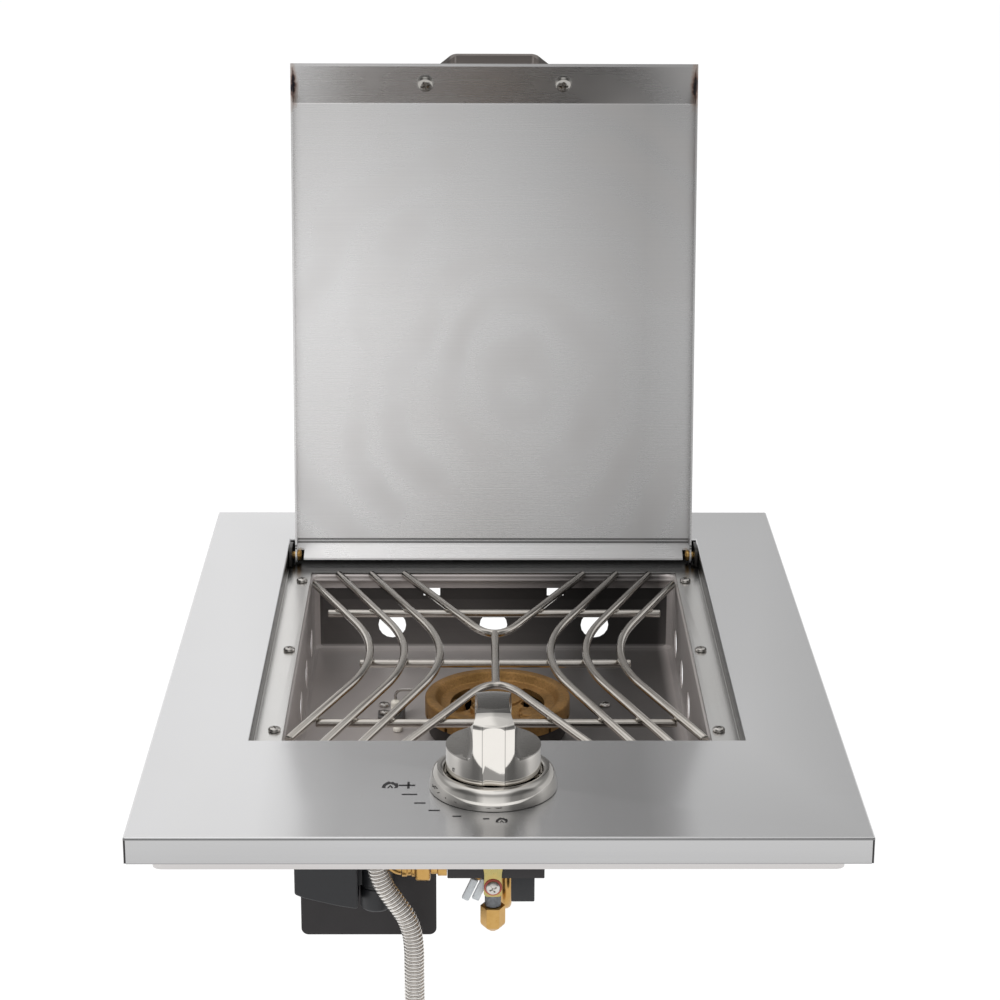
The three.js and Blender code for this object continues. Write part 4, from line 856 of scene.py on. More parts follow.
def makeKnob():
    shoulder = knob["shoulder"]
    body = turnedPiece("knobFaceted", knob["profile"], 128, corner=1.0, steps=8)
    for side in (-1, 1):
        wall = []
        for k in range(-16, 17):
            flare = knob["flareFront"] if k > 0 else knob["flareBack"]
            wall.append((side * (knob["ridgeHalf"] + flare * (k / 10) ** 2), k * 2))
        ends = [(side * knob["reach"], 32), (side * knob["reach"], -32)]
        scoop = settle(pushedPiece("scoopTool", [*wall, *ends], shoulder, 90), turns=[("X", 90)])
        roundEdges(scoop, lambda a, b: max(a.z, b.z) < shoulder + 0.1 and max(abs(a.x), abs(b.x)) < 20,
                   knob["fillet"], 8)
        cutWith(body, scoop)
    flat = boxPiece("flatTool", (-60, -60, -10), (60, -knob["frontFlat"], 90), edge=0)
    wedge = pushedPiece("wedgeTool", [(-60, 0), (60, 0), (60, 40), (-60, 40)], 0, 60)
    settle(wedge, Vector(knob["chamferStart"]) * mm, [("Z", 180), ("X", degrees(knob["slope"]))])
    cutWith(body, flat, wedge)
    softenEdges(body, 0.55, 4, 30)
    smooth(body, 12.5)
    return intoFrame(body, knob["place"])


finishPiece(makeKnob(), knobNickel, "knob", body="knob_body")
turnedPart("knobBezelRing", "knob_bezel", polishedNickel, knob["bezel"], knob["place"], sides=160, corner=0.6,
           steps=5, angle=40, ring=True)
print("knob and bezel made")

# Screws: head radius, head height, shank radius and length
screws = {
    "ledge": (3.6, 2.2, 2, 9), "floor": (3.6, 2.2, 2, 7), "small": (3.1, 2, 1.6, 5),
    "handle": (5.7, 3.2, 2.4, 4), "clip": (3.9, 2.4, 1.7, 7.4), "valve": (3.4, 2.2, 1.8, 9),
}
screwPlaces = {
    "ledgeTop": -10.7, "ledgeTurn": 23, "floor": (69.7, 330, -64.7), "valveTop": 3.3, "bossTop": -42.2,
    "handleTop": -0.1, "bracket": (-69, 314, -63.2), "clip": (-2.7, 54.2, -54.6),
}

# Pieces drawn on the inner face of the lid's front strip are carried to the open lid
lidPlaces = {
    "pin": (0, 450, -5.7), "open": 98.7, "stripMiddle": (0, -310.8, 2.9), "stripTilt": 32.375, "raise": -1.4,
}


def moved(*where):
    return Matrix.Translation(Vector(where) * mm)


def turned(angle, axis):
    return Matrix.Rotation(angle, 4, axis)


hingePlace = Matrix.Translation(spot(*lidPlaces["pin"])) @ turned(radians(-lidPlaces["open"]), "X")
stripPlace = moved(*lidPlaces["stripMiddle"]) @ turned(radians(lidPlaces["stripTilt"]), "X")


# Pan head with a cross recess
def makeScrew(kind):
    head, high, shank, long = screws[kind]
    body = turnedPiece(kind + "Screw", [
        (0, -long, 0), (shank, -long, 0.3), (shank, 0, 0), (head * 0.97, 0, 0.2), (head, high * 0.3, 0.5),
        (head * 0.86, high * 0.74, 1.2), (head * 0.45, high * 0.97, 1), (0, high, 0),
    ], 40, corner=0.3, steps=4)
    arm, slot = head * 0.56, head * 0.12
    for x, y in ((arm, slot), (slot, arm)):
        cutWith(body, boxPiece("recessTool", (-x, -y, high * 0.4), (x, y, high * 2), edge=0))
    core = [(0, high * 0.15), (head * 0.10, high * 0.15), (head * 0.27, high * 1.6), (0, high * 1.6)]
    cutWith(body, turnedPiece("coreTool", core, 4))
    smooth(body, 30)
    return body


def makeScrews():
    originals = {kind: makeScrew(kind) for kind in screws}

    def place(kind, name, matrix, finish=screwSteel, **how):
        piece = originals[kind].copy()
        piece.data = originals[kind].data.copy()
        piece.name = name + "_piece"
        bpy.context.collection.objects.link(piece)
        piece.data.transform(matrix)
        finishPiece(piece, finish, name, **how)

    def at(x, y, z):
        return Matrix.Translation(spot(x, y, z))

    across, rows = panel["ledgeScrews"][:2]
    for number, (row, side) in enumerate([(row, side) for row in rows for side in (-1, 1)], 1):
        turn = turned(radians(screwPlaces["ledgeTurn"] * number), "Z")
        place("ledge", f"ledge_screw_{number}", at(side * across, row, screwPlaces["ledgeTop"]) @ turn)
    x, y = knob["place"][:2]
    floorX, floorY, floorTop = screwPlaces["floor"]
    for side, where in ((-1, "left"), (1, "right")):
        turn = turned(radians(30 + 25 * side), "Z")
        place("floor", "floor_screw_" + where, at(side * floorX, floorY, floorTop) @ turn)
        beside = x + side * panel["valveScrews"][0]
        place("valve", "valve_screw_" + where, at(beside, y, screwPlaces["valveTop"]), greyZinc)
        turn = turned(pi, "X") @ turned(0.12 - 0.2 * side, "Z")
        inStrip = moved(side * handle["screw"], lidPlaces["raise"], screwPlaces["handleTop"]) @ turn
        inLid = hingePlace @ stripPlace @ inStrip
        place("handle", "handle_screw_" + where, inLid, polishedNickel, body="lid_body")
    place("small", "bracket_screw", at(*screwPlaces["bracket"]))
    for where, (dx, dy) in zip(("left", "front"), burner["bosses"]):
        boss = at(burner["axis"][0] + dx, burner["axis"][1] + dy, screwPlaces["bossTop"])
        place("small", "burner_screw_" + where, boss, machinedBrass)
    clipPlace = at(*screwPlaces["clip"]) @ turned(pi / 2, "X") @ turned(0.5, "Z")
    place("clip", "clip_screw", clipPlace, slot="red_paint")
    for piece in originals.values():
        bpy.data.objects.remove(piece, do_unlink=True)


# Lid handle, a bent strip
handle = {
    "foot": 53, "base": 38.6, "grip": 25.3, "lean": 1.875, "low": 1.4, "rise": 22, "strip": 2.3, "width": 16,
    "screw": 45, "hole": 2.7,
}


def makeHandle():
    foot, low, strip, base, grip = (handle[k] for k in ("foot", "low", "strip", "base", "grip"))
    high, lean, half = low + handle["rise"], handle["lean"], handle["width"] / 2
    upper = [(foot, low, 0.3), (foot, low + strip, 0.3), (base + lean, low + strip, 2.2)]
    upper.append((grip + lean, high, 3.4))
    under = [(grip, high - strip, 1.6), (base, low, 3.4)]
    left = [(-x, z, r) for line in (upper, under) for x, z, r in reversed(line)]
    piece = pushedPiece("lidHandleBent", rounded([*upper, *left, *under], 1, 5, closed=True), -half, half)
    for side in (-1, 1):
        cutWith(piece, roundTool(handle["hole"], -5, 9, (side * handle["screw"], 0, 0)))
    softenEdges(piece, 0.35, 2, 40)
    smooth(piece)
    piece.data.transform(hingePlace @ stripPlace @ moved(0, lidPlaces["raise"], 0))
    return piece


# Cooking grate: bent rods on three cross bars, spot welded. A side rod is (corner x, rear x,
# rear y, front x, front y), an end rod (half, y, corner y) and a cross bar (y, half)
grate = {
    "wire": 2.5, "height": -12.2, "crossHeight": -16.7, "middle": 287, "shoulder": 58, "sides": 24,
    "tip": 0.9, "sideRods": [
        (23.2, 81.0, 430.2, 78, 143.3), (45.0, 102.8, 430.2, 99.5, 143.3), (65.8, 117.4, 411, 117.4, 154),
    ],
    "endRods": [(59.2, 430.2, 305), (54, 143.3, 250)], "endShoulder": 34, "middleRod": (235, 320),
    "crossBars": [(368, 106.5), (281, 82.6), (188, 104)],
    "bead": 1.9, "beadRise": 2.4, "beadSquash": (1.35, 1.35, 0.8),
    "restHalf": 119.2, "restSheet": 1.0, "restReach": 4.0, "restDrop": 7.0, "restGap": 0.05,
    "restWalls": [(143.1, 1), (430.4, -1)],
}


# Where a side rod crosses a bar: in its bend at the middle bar, else on a straight leg
def crossingX(rod, line, y):
    if y == grate["crossBars"][1][0]:
        return min((abs(p.y - y), abs(p.x)) for p in line)[1]
    corner, middle = rod[0], grate["middle"]
    endX, endY = rod[1:3] if y > middle else rod[3:5]
    share = (y - middle) / (endY - middle)
    return corner + (endX - corner) * share


def weldBead(x, y, z):
    clearAll()
    where = Vector((x, y, z)) * mm
    bpy.ops.mesh.primitive_uv_sphere_add(segments=16, ring_count=8, radius=grate["bead"] * mm, location=where)
    bead = bpy.context.object
    bead.scale = grate["beadSquash"]
    bpy.ops.object.transform_apply(location=True, rotation=True, scale=True)
    smooth(bead, 60)
    return bead


def makeGrate():
    z, low, middle = grate["height"], grate["crossHeight"], grate["middle"]
    how = {"radius": grate["wire"], "sides": grate["sides"]}
    tipped = {**how, "tip": grate["tip"]}
    rods, welds = [], []
    for side in (-1, 1):
        for rod in grate["sideRods"]:
            corner, rearX, rearY, frontX, frontY = rod
            rear, front = (side * rearX, rearY, z), (side * frontX, frontY, z)
            line = bentLine(rear, (side * corner, middle, z), front, grate["shoulder"])
            rods.append(wirePiece("rod", line, **tipped))
            for y, half in grate["crossBars"]:
                x = crossingX(rod, line, y)
                if x < half - 2:
                    welds.append((side * x, y))
    for half, y, corner in grate["endRods"]:
        line = bentLine((-half, y, z), (0, corner, z), (half, y, z), grate["endShoulder"])
        rods.append(wirePiece("rod", line, **tipped))
    rods.append(wirePiece("rod", [(0, y, z) for y in grate["middleRod"]], **how))
    for y, half in grate["crossBars"]:
        rods.append(wirePiece("rod", [(-half, y, low), (half, y, low)], **tipped))
    beads = [weldBead(x, y, low + grate["beadRise"]) for x, y in welds]
    return intoFrame(joined("grateRods", *rods, *beads))


# Narrow angles on the box's front and rear walls, which carry the rods' ends
def makeGrateRests():
    half, sheet = grate["restHalf"], grate["restSheet"]
    top = grate["height"] - grate["wire"] - grate["restGap"]
    legs = []
    for wall, way in grate["restWalls"]:
        for width, low in ((grate["restReach"], top - sheet), (sheet, top - grate["restDrop"])):
            near, far = sorted((wall, wall + way * width))
            legs.append(boxPiece("rest", (-half, near, low), (half, far, top), edge=0.3))
    return intoFrame(joined("grateRests", *legs))


# Burner casting with its trough, pockets, flame ports, bosses and the ribs of a small fan
burner = {
    "axis": (1.5, 288, 0), "ports": 12, "port": ((35.5, -1.1, -54), (49.5, 1.1, -49)),
    "casting": [
        (0, -49, 0), (40, -49, 0), (40, -52, 0), (44.5, -52, 0.5), (44.5, -40, 1.6), (38, -40, 1.4),
        (35, -45, 1.2), (20.5, -45.6, 2), (18, -43.2, 1.5), (15.5, -42.4, 0.8), (15.5, -40.6, 1.5),
        (0, -40.6, 0),
    ],
    "pocketArcs": [(29, 0.55, -1.5), (16.1, -0.95, 1.5)], "bosses": [(-24.3, -8), (-12.5, -13.5)],
    "boss": [
        (0, -49, 0), (5.6, -49, 0), (4.4, -44.6, 1), (4.2, -42.5, 0.6), (1.9, -42.5, 0), (1.9, -47, 0),
        (0, -47, 0),
    ],
    "fan": (12, -24, 0), "ribs": 7, "rib": ((3.0, -1.25, -48), (16.5, 1.25, -42.7)), "ribDrop": 0.12,
    "ribTurn": -8, "ribStep": 11,
    "fanPlate": [(0, -48.6, 0), (14.5, -48.6, 0), (15.2, -44, 0.8), (0, -43.6, 0)],
    "fanTrims": [(13.5, 60, -20), (60, -26.5, -20)],
    "bowl": [
        (0, -95, 0), (20, -95, 3), (20, -64.7, 1.5), (42.5, -64.7, 4), (42.5, -52.3, 0.5),
        (39.5, -52.3, 0.5), (39.5, -61.7, 3), (17, -61.7, 2), (17, -92, 2), (0, -92, 0),
    ],
    "bore": 11.3, "boreDepth": 29,
}


def makeBurnerHead():
    where, ports = Vector(burner["fan"]) * mm, burner["ports"]
    body = turnedPiece("burnerCasting", burner["casting"], 128, corner=0.6, steps=4)
    for side in (-1, 1):
        arc = []
        for reach, start, span in burner["pocketArcs"]:
            angles = [start + span * k / 16 for k in range(17)]
            arc += [(side * reach * cos(a), reach * sin(a)) for a in angles]
        pocket = pushedPiece("pocketTool", rounded(arc, 0.8, 3, closed=True), -80, -20)
        cutWith(body, settle(pocket, turns=[("X", 90)]))
    for i in range(ports):
        port = boxPiece("portTool", *burner["port"], edge=0)
        cutWith(body, settle(port, turns=[("Z", (i + 0.5) * 360 / ports)]))
    extras = []
    for x, y in burner["bosses"]:
        boss = turnedPiece("boss", burner["boss"], 48, corner=0.4)
        extras.append(settle(boss, Vector((x, y, 0)) * mm))
    low, (right, back, top) = burner["rib"]
    for k in range(burner["ribs"]):
        rib = boxPiece("fanRib", low, (right, back, top - burner["ribDrop"] * k), 0.7, 3)
        extras.append(settle(rib, where, [("Z", burner["ribTurn"] + k * burner["ribStep"])]))
    plate = settle(turnedPiece("fanPlate", burner["fanPlate"], 48, corner=0.5), where)
    for end in burner["fanTrims"]:
        cutWith(plate, boxPiece("trimTool", (-60, -60, -60), end, edge=0))
    smooth(body, 34)
    return intoFrame(joined("burnerCasting", body, *extras, plate), burner["axis"])


def makeBurnerBowl():
    body = turnedPiece("burnerBowlTurned", burner["bowl"], 96, corner=0.5, steps=4)
    cutWith(body, roundTool(burner["bore"], 0, burner["boreDepth"], (0, 0, -80), [("X", 90)], 64))
    smooth(body, 34)
    return intoFrame(body, burner["axis"])


# Gas way from the valve to the bowl; profiles run along the tube's axis
tube = {
    "way": ((1.5, 0, -80), [("X", 90)]), "window": ((-33, -6, -169), (33, 6, -160), 0.8, 3),
    "mixer": [
        (3.6, -154), (11, -154, 1.4), (11, -273, 0), (9.8, -273, 0), (9.8, -155.2, 0.6), (3.6, -155.2, 0),
    ],
    "shutter": [(11.3, -157, 0), (12.5, -157, 0.4), (12.5, -172, 0.4), (11.3, -172, 0)],
    "orificeHex": [(0.8, -152), (6, -152), (6, -144), (0.8, -144)],
    "orificeSpigot": [(0.8, -159), (3, -159), (3, -151), (0.8, -151)],
    "supply": [
        (4.4, 74, -46.3), (4.4, 74, -57.3), (4.4, 74.6, -67), (4.4, 79, -75.5), (4.4, 87.5, -79.5),
        (4.4, 98, -80), (1.5, 128, -80), (1.5, 143.7, -80),
    ],
}


def makeWindowed(name, profile):
    body = turnedPiece(name, profile, 72, corner=0.3, ring=True)
    cutWith(body, boxPiece("windowTool", *tube["window"]))
    smooth(body)
    return intoFrame(body, *tube["way"])


def makeOrifice():
    hexagon = turnedPiece("hexPart", tube["orificeHex"], 6, ring=True)
    softenEdges(hexagon, 0.45, 2)
    spigot = turnedPiece("spigot", tube["orificeSpigot"], 40, corner=0.3, ring=True)
    return intoFrame(joined("gasOrificeHex", hexagon, spigot), *tube["way"])


# Round wire or tube along a smooth route
def bentPart(name, node, finish, route, step, radius, sides=28, tip=0.0):
    piece = wirePiece(name, evenLine(route, step)[0], radius, sides, tip)
    return finishPiece(intoFrame(piece), finish, node)


# Spark electrode on its folded foot, and the bush of its lead
electrode = {
    "place": (-62, 314, -64.7), "bush": (-60, 290, -64.7),
    "ceramic": [
        (0, 0, 0), (3, 0, 0.2), (3, 6.4, 0.3), (2.5, 6.8, 0.3), (3, 7.2, 0.3), (3, 9.6, 0.8),
        (1.2, 10.6, 0.3), (0, 10.6, 0),
    ],
    "tip": [
        (-62, 314, -53.8), (-62, 314, -50.4), (-60, 313.4, -47.8), (-54, 311.6, -46.4), (-46.5, 309.4, -45.8),
    ],
    "foot": [((-73, 308, -64.7), (-56, 320, -63.5), 0.35), ((-57.2, 308, -64.7), (-56, 320, -55.7), 0.35)],
    "lead": [(0, 0, 0), (3, 0, 0.2), (3, 2, 0.6), (2.2, 3, 0.4), (0, 2.6, 0)],
}


def makeElectrode():
    turnedPart("electrodeCeramicTurned", "electrode_ceramic", porcelain, electrode["ceramic"],
               electrode["place"], sides=40)
    bentPart("electrodeTipBent", "electrode_tip", screwSteel, electrode["tip"], 0.8, 0.9, 16, 0.4)
    blockPart("electrodeFoot", "electrode_bracket", bracketSteel, *electrode["foot"])
    turnedPart("leadBushTurned", "lead_bush", porcelain, electrode["lead"], electrode["bush"], sides=36)


# Lid hinges: a headed pin through an ear on each side of the recess
hinge = {
    "pin": [
        (0, 128.3, 0), (2.9, 128.3, 0.8), (3.6, 129.4, 0.6), (3.6, 130.8, 0.2), (2.5, 130.8, 0),
        (2.5, 136.2, 0.3), (0, 136.2, 0),
    ],
    "ear": [(440, -10.7, 0.3), (460, -10.7, 0.3), (460, 1.6, 6.5), (440, 1.6, 6.5)],
    "earDepths": (-136.2, -134.2), "hole": 2.8, "holePlace": (450, -135.2, -5.7),
}


def makeHinges():
    for side, where in ((-1, "left"), (1, "right")):
        pin = turnedPiece("hingePinTurned_" + where, hinge["pin"], 40, corner=0.3)
        settle(pin, turns=[("Y", 90)])
        outline = rounded(hinge["ear"], 1, 8, closed=True)
        plate = pushedPiece("hingeEar_" + where, outline, *hinge["earDepths"])
        cutWith(plate, roundTool(hinge["hole"], -5, 5, hinge["holePlace"], [("X", 90)]))
        softenEdges(plate, 0.25, 2, 50)
        smooth(plate)
        settle(plate, turns=[("Z", 90)])
        if side < 0:
            settle(pin, mirror=True)
            settle(plate, mirror=True)
        finishPiece(intoFrame(pin, lidPlaces["pin"]), brightBrass, "hinge_pin_" + where, slot="screw_steel")
        finishPiece(intoFrame(plate), hingeSteelShadowed, "hinge_bracket_" + where)


# Valve and what hangs under the panel, drawn round the knob's axis where it stands on it
valve = {
    "threads": 10, "threadLow": -69.5, "threadPitch": 0.75,
    "thread": [(4.4, 0, 0.15), (4.4, 0.35, 0.15), (4.1, 0.5, 0.1)],
    "collarLow": [(0, -69.7, 0), (4.1, -69.7, 0.2)], "collarHigh": [(4.1, -62.0, 0.2), (0, -62.0, 0)],
    "clipDepths": (-10, -8.8), "clipHole": 2.0, "clipHolePlace": (0, -9.4, -54.6),
    "cap": [
        (0, -85, 0), (1.6, -85, 0.6), (6.3, -81.6, 0.8), (6.72, -80.4, 0.6), (6.72, -70, 0.4), (0, -70, 0),
    ],
    "bar": [
        ((-27, 56, -50.3), (24.7, 58, -41), 0.5), ((-27, 56, -44), (-24, 58, -1.5)),
        ((21.7, 56, -44), (24.7, 58, -1.5)),
    ],
    "clip": [
        (-5.4, -37, 0.6), (5.3, -37, 0.6), (5.3, -43, 1), (4.6, -47, 2), (4.9, -60.4, 2.6),
        (-5.0, -60.4, 2.6), (-4.7, -47, 2), (-5.4, -43, 1),
    ],
    "daub": [
        (2.6, -0.02, 0), (4.9, -0.02, 0), (4.7, 0.5, 0.3), (4.0, 0.75, 0.4), (3.2, 0.7, 0.2), (2.6, 0.3, 0),
    ],
    "daubPlace": (-2.7, 54.5, -54.6),
    "blocks": [
        ((-10.5, -5.5, -46), (10.7, 15, -5), 1.0, 3), ((-20, -9, -6), (20, 15, -1.5), 0.8, 3),
        ((-10.5, 4.5, -58), (-4.5, 14.5, -45), 0.6),
    ],
    "tail": [(0, -61.7, 0), (4.1, -61.7, 0.3), (4.1, -45, 0), (0, -45, 0)],
    "stub": [(0, -24.3, 0), (4, -24.3, 0.3), (4, -8.5, 0), (0, -8.5, 0)], "stubPlace": (0, 9.5, -52.6),
}


def makeValve():
    axis = knob["place"]
    line = [*valve["collarLow"]]
    for k in range(valve["threads"]):
        low = valve["threadLow"] + k * valve["threadPitch"]
        line += [(radius, low + rise, corner) for radius, rise, corner in valve["thread"]]
    line += valve["collarHigh"]
    turnedPart("valveCollarThreaded", "valve_collar", greyZinc, line, axis, corner=0.1, steps=2)
    turnedPart("valveCapHex", "valve_cap", brightBrass, valve["cap"], axis, soft=(0.45, 3, 30), sides=6,
               corner=0.4)
    blockPart("valveBarFolded", "valve_bracket", blackSteel, *valve["bar"])
    clip = pushedPiece("valveClipPlated", rounded(valve["clip"], 1, 5, closed=True), *valve["clipDepths"])
    cutWith(clip, roundTool(valve["clipHole"], -5, 5, valve["clipHolePlace"], [("X", 90)]))
    softenEdges(clip, 0.2, 2, 50)
    smooth(clip)
    finishPiece(intoFrame(clip, axis), yellowZinc, "valve_clip")
    turnedPart("paintDaub", None, redPaint, valve["daub"], valve["daubPlace"], [("X", 90)], corner=0.2,
               ring=True)
    blocks = [boxPiece("valveBodyCast", *block) for block in valve["blocks"]]
    tail = turnedPiece("tail", valve["tail"], 48, corner=0.2)
    stub = turnedPiece("stub", valve["stub"], 40, corner=0.2)
    settle(stub, Vector(valve["stubPlace"]) * mm, [("Y", 90)])
    body = joined("valveBodyCast", *blocks, tail, stub)
    finishPiece(intoFrame(body, axis), machinedBrass, "valve_body")


# Inlet row from the valve's stub to the hose
inlet = {
    "row": {"where": (0, 74, -52.6), "turns": [("Y", 90)], "ring": True},
    "tail": [(2, -36.1), (3.4, -36.1), (3.4, -32.5), (4.4, -32.2), (4.4, -27.4), (2, -27.4)],
    "nut": [(2, -44.3), (7.2, -44.3), (8, -43.5), (8, -37.2), (7.2, -36.4), (2, -36.4)],
    "barrel": [
        (2, -51.6), (4.9, -51.6), (4.9, -49), (4.3, -48.6), (4.3, -46.6), (4.9, -46.2), (4.9, -44.6),
        (2, -44.6),
    ],
    "elbow": [
        (-51.9, 74, -52.6), (-53.4, 74, -52.5), (-55.6, 74, -51.4), (-56.7, 74, -49.4), (-57, 74, -46),
        (-57, 74, -30), (-57, 74, -14),
    ],
    "block": ((-73, 52, -13.7), (-50, 80, -1.5), 0.7, 3),
    "gland": [(4, -25.7), (7, -25.7), (8, -24.6), (8, -14), (4, -14)], "glandPlace": (-65.2, 60, 0),
}


def makeInletRow():
    row, hexagon = inlet["row"], {"sides": 6, "corner": 0}
    turnedPart("inletTailTurned", "inlet_tail", brightBrass, inlet["tail"], **row)
    turnedPart("inletNutHex", "inlet_nut", brightBrass, inlet["nut"], soft=(0.4, 2), **hexagon, **row)
    turnedPart("inletBarrelTurned", "inlet_barrel", brightBrass, inlet["barrel"], **row)
    bentPart("inletElbowBent", "inlet_elbow", brightBrass, inlet["elbow"], 1, 4)
    blockPart("inletBlockDrilled", "inlet_block", brightBrass, inlet["block"])
    turnedPart("hoseGlandHex", "hose_gland", greyZinc, inlet["gland"], inlet["glandPlace"], soft=(0.5, 2),
               **hexagon, ring=True)


# Igniter housing with its battery holder and cap, the switch and two connectors
igniter = {
    "housing": [
        (-109.5, -30, 1), (-75.5, -30, 1), (-75.5, -75.5, 1.6), (-86, -73.8, 6), (-105, -68.9, 3),
        (-109.5, -66.8, 1.2),
    ],
    "depths": (70, 93), "battery": (-66, 86, 0),
    "holder": [(0, -66, 0), (9.6, -66, 0.6), (9.6, -30, 0.6), (0, -30, 0)],
    "bridge": ((-78, 80, -66), (-66, 91, -30), 0.6),
    "cap": [
        (0, -81.1, 0), (6.2, -81.1, 0.3), (6.6, -81.5, 0.2), (7.6, -81.5, 0.8), (8.8, -80.3, 0.8),
        (8.8, -68.4, 0.2), (8.4, -68.0, 0.2), (8.4, -67.4, 0.2), (8.8, -67.0, 0.2), (8.8, -66.3, 0.2),
        (0, -66.3, 0),
    ],
    "switch": ((7, 58.3, -65.2), (19.5, 69.5, -50.6), 0.6),
    "connector": ((-2, -1.5, -6.5), (2, 1.5, 6.5), 0.7, 3), "connectorTilt": 0.42,
}


def makeIgniter():
    battery = igniter["battery"]
    outline = rounded(igniter["housing"], 1, 4, closed=True)
    box = pushedPiece("igniterHousingMoulded", outline, *igniter["depths"])
    softenEdges(box, 0.9, 3, 50)
    smooth(box)
    holder = settle(turnedPiece("holder", igniter["holder"], 64, corner=0.5), Vector(battery) * mm)
    bridge = boxPiece("bridge", *igniter["bridge"])
    housing = intoFrame(joined("igniterHousingMoulded", box, holder, bridge))
    finishPiece(housing, blackPlastic, "igniter_housing")
    turnedPart("batteryCapMoulded", "battery_cap", blackPlastic, igniter["cap"], battery, sides=64)
    blockPart("switchBoxMoulded", "switch_box", blackPlastic, igniter["switch"])
    for where in ("front", "rear"):
        shell = boxPiece("connectorShell_" + where, *igniter["connector"])
        low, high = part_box("connector_" + where)
        settle(shell, (low + high) / 2, [("Y", degrees(igniter["connectorTilt"]))])
        finishPiece(shell, whitePlastic, "connector_" + where)


# Folded top panel: a shallow tray turned over, with the pressed recess let into it. The
# recess and the opening are (half, front, rear), a hole row is (across, rows, radius)
panel = {
    "half": 190.5, "depth": 525, "drop": 14.5, "sheet": 1.2, "seat": 12, "corner": 1.2, "fold": 1.0,
    "recess": (136.5, 124.8, 466), "floor": -11, "opening": (120.5, 142, 431), "rim": 1.1, "openingRim": 0.45,
    "stem": 6, "valveScrews": (14, 2.1), "ledgeScrews": (125.8, (163.5, 288, 412.5), 2.3),
}


# Test for edges above a height and inside a rectangle
def insideOf(half, front, rear, low):
    def test(a, b):
        inside = max(abs(a.x), abs(b.x)) < half + 0.1 and min(a.y, b.y) > front - 0.1
        return inside and max(a.y, b.y) < rear + 0.1 and min(a.z, b.z) > low
    return test


# Slits or strips at the four corner seams, from a depth off each edge and a width off each side
def cornerBoxes(name, ends, outer, inner, low, high, edge):
    half, depth = panel["half"], panel["depth"]
    for side in (-1, 1):
        for front, back in ((ends[0], ends[1]), (depth - ends[1], depth - ends[0])):
            near, far = sorted((side * (half - outer), side * (half - inner)))
            yield boxPiece(name, (near, front, low), (far, back, high), edge)


def makeTopPanel():
    half, depth, drop, sheet, seat = (panel[k] for k in ("half", "depth", "drop", "sheet", "seat"))
    wide, front, rear = panel["recess"]
    piece = boxPiece("topPanelFolded", (-half, 0, -drop), (half, depth, 0), edge=0)
    roundEdges(piece, lambda a, b: abs(a.z - b.z) > 5, panel["corner"], 3)
    roundEdges(piece, lambda a, b: a.z > -0.01 and b.z > -0.01, panel["fold"])
    for edge, low, high in ((sheet, sheet - drop, -sheet), (seat, -drop - 4, -sheet - 1)):
        cutWith(piece, boxPiece("insideTool", (edge - half, edge, low), (half - edge, depth - edge, high), 0))
    cutWith(piece, boxPiece("recessTool", (-wide, front, -9), (wide, rear, 9), edge=0))
    roundEdges(piece, insideOf(*panel["recess"], -0.01), panel["rim"])
    x, y = knob["place"][:2]
    spacing, radius = panel["valveScrews"]
    for across, size in ((0, panel["stem"]), (-spacing, radius), (spacing, radius)):
        cutWith(piece, roundTool(size, -4, 4, (x + across, y, 0)))
    cutWith(piece, *cornerBoxes("seamTool", (-1, 0.75), 1.35, 0.35, -drop - 1, -1.3, 0))
    smooth(piece, 30)
    finishPiece(intoFrame(piece), panelSteel, "top_panel")
    strips = cornerBoxes("cornerSeams", (0.5, 0.9), 1.4, 0.3, 0.1 - drop, -1.35, 0.1)
    finishPiece(intoFrame(joined("cornerSeams", *strips)), blackSteel)


def makeRecess():
    (wide, near, far), (half, front, rear) = panel["recess"], panel["opening"]
    sheet, floor = panel["sheet"], panel["floor"]
    low, high = (-wide - sheet, near - sheet, floor - sheet), (wide + sheet, far + sheet, -1.15)
    tub = boxPiece("panelRecess", low, high, edge=0)
    inside = boxPiece("insideTool", (-wide, near, floor), (wide, far, 9), edge=0)
    roundEdges(inside, lambda a, b: min(a.z, b.z) < floor + 0.1, 0.5, 3)
    cutWith(tub, inside, boxPiece("openingTool", (-half, front, floor - 9), (half, rear, 9), edge=0))
    roundEdges(tub, insideOf(half, front, rear, floor - 0.01), panel["openingRim"], 3)
    across, rows, radius = panel["ledgeScrews"]
    for side in (-1, 1):
        for row in rows:
            cutWith(tub, roundTool(radius, floor - 4, floor + 4, (side * across, row, 0), sides=24))
    smooth(tub, 30)
    finishPiece(intoFrame(tub), recessSteel)


# Folded lid, drawn shut round its hinge pin and then carried to the open pose. A notch is
# (reach, near, far, low, high) beside each ear
lidPan = {
    "half": 132.3, "sheet": 1.1, "eye": 2.8, "ear": 4.9, "notch": (4.6, -6, 3.4, -4.4, 4.6),
    "outside": [(-324.8, -4.2, 0.2), (-300.6, 11.2, 1.8), (-6.6, 11.2, 1.8), (2.55, -4.2, 0.2)],
    "inside": [
        (-322.9, -4.2, 0), (-323.1, -9, 0), (1.3, -9, 0), (1.2, -4.2, 0), (-7.4, 10.1, 0.7),
        (-299.0, 10.1, 0.7),
    ],
}


def alongLid(name, outline, half):
    return settle(pushedPiece(name, rounded(outline, 0, 5, closed=True), -half, half), turns=[("Z", 90)])


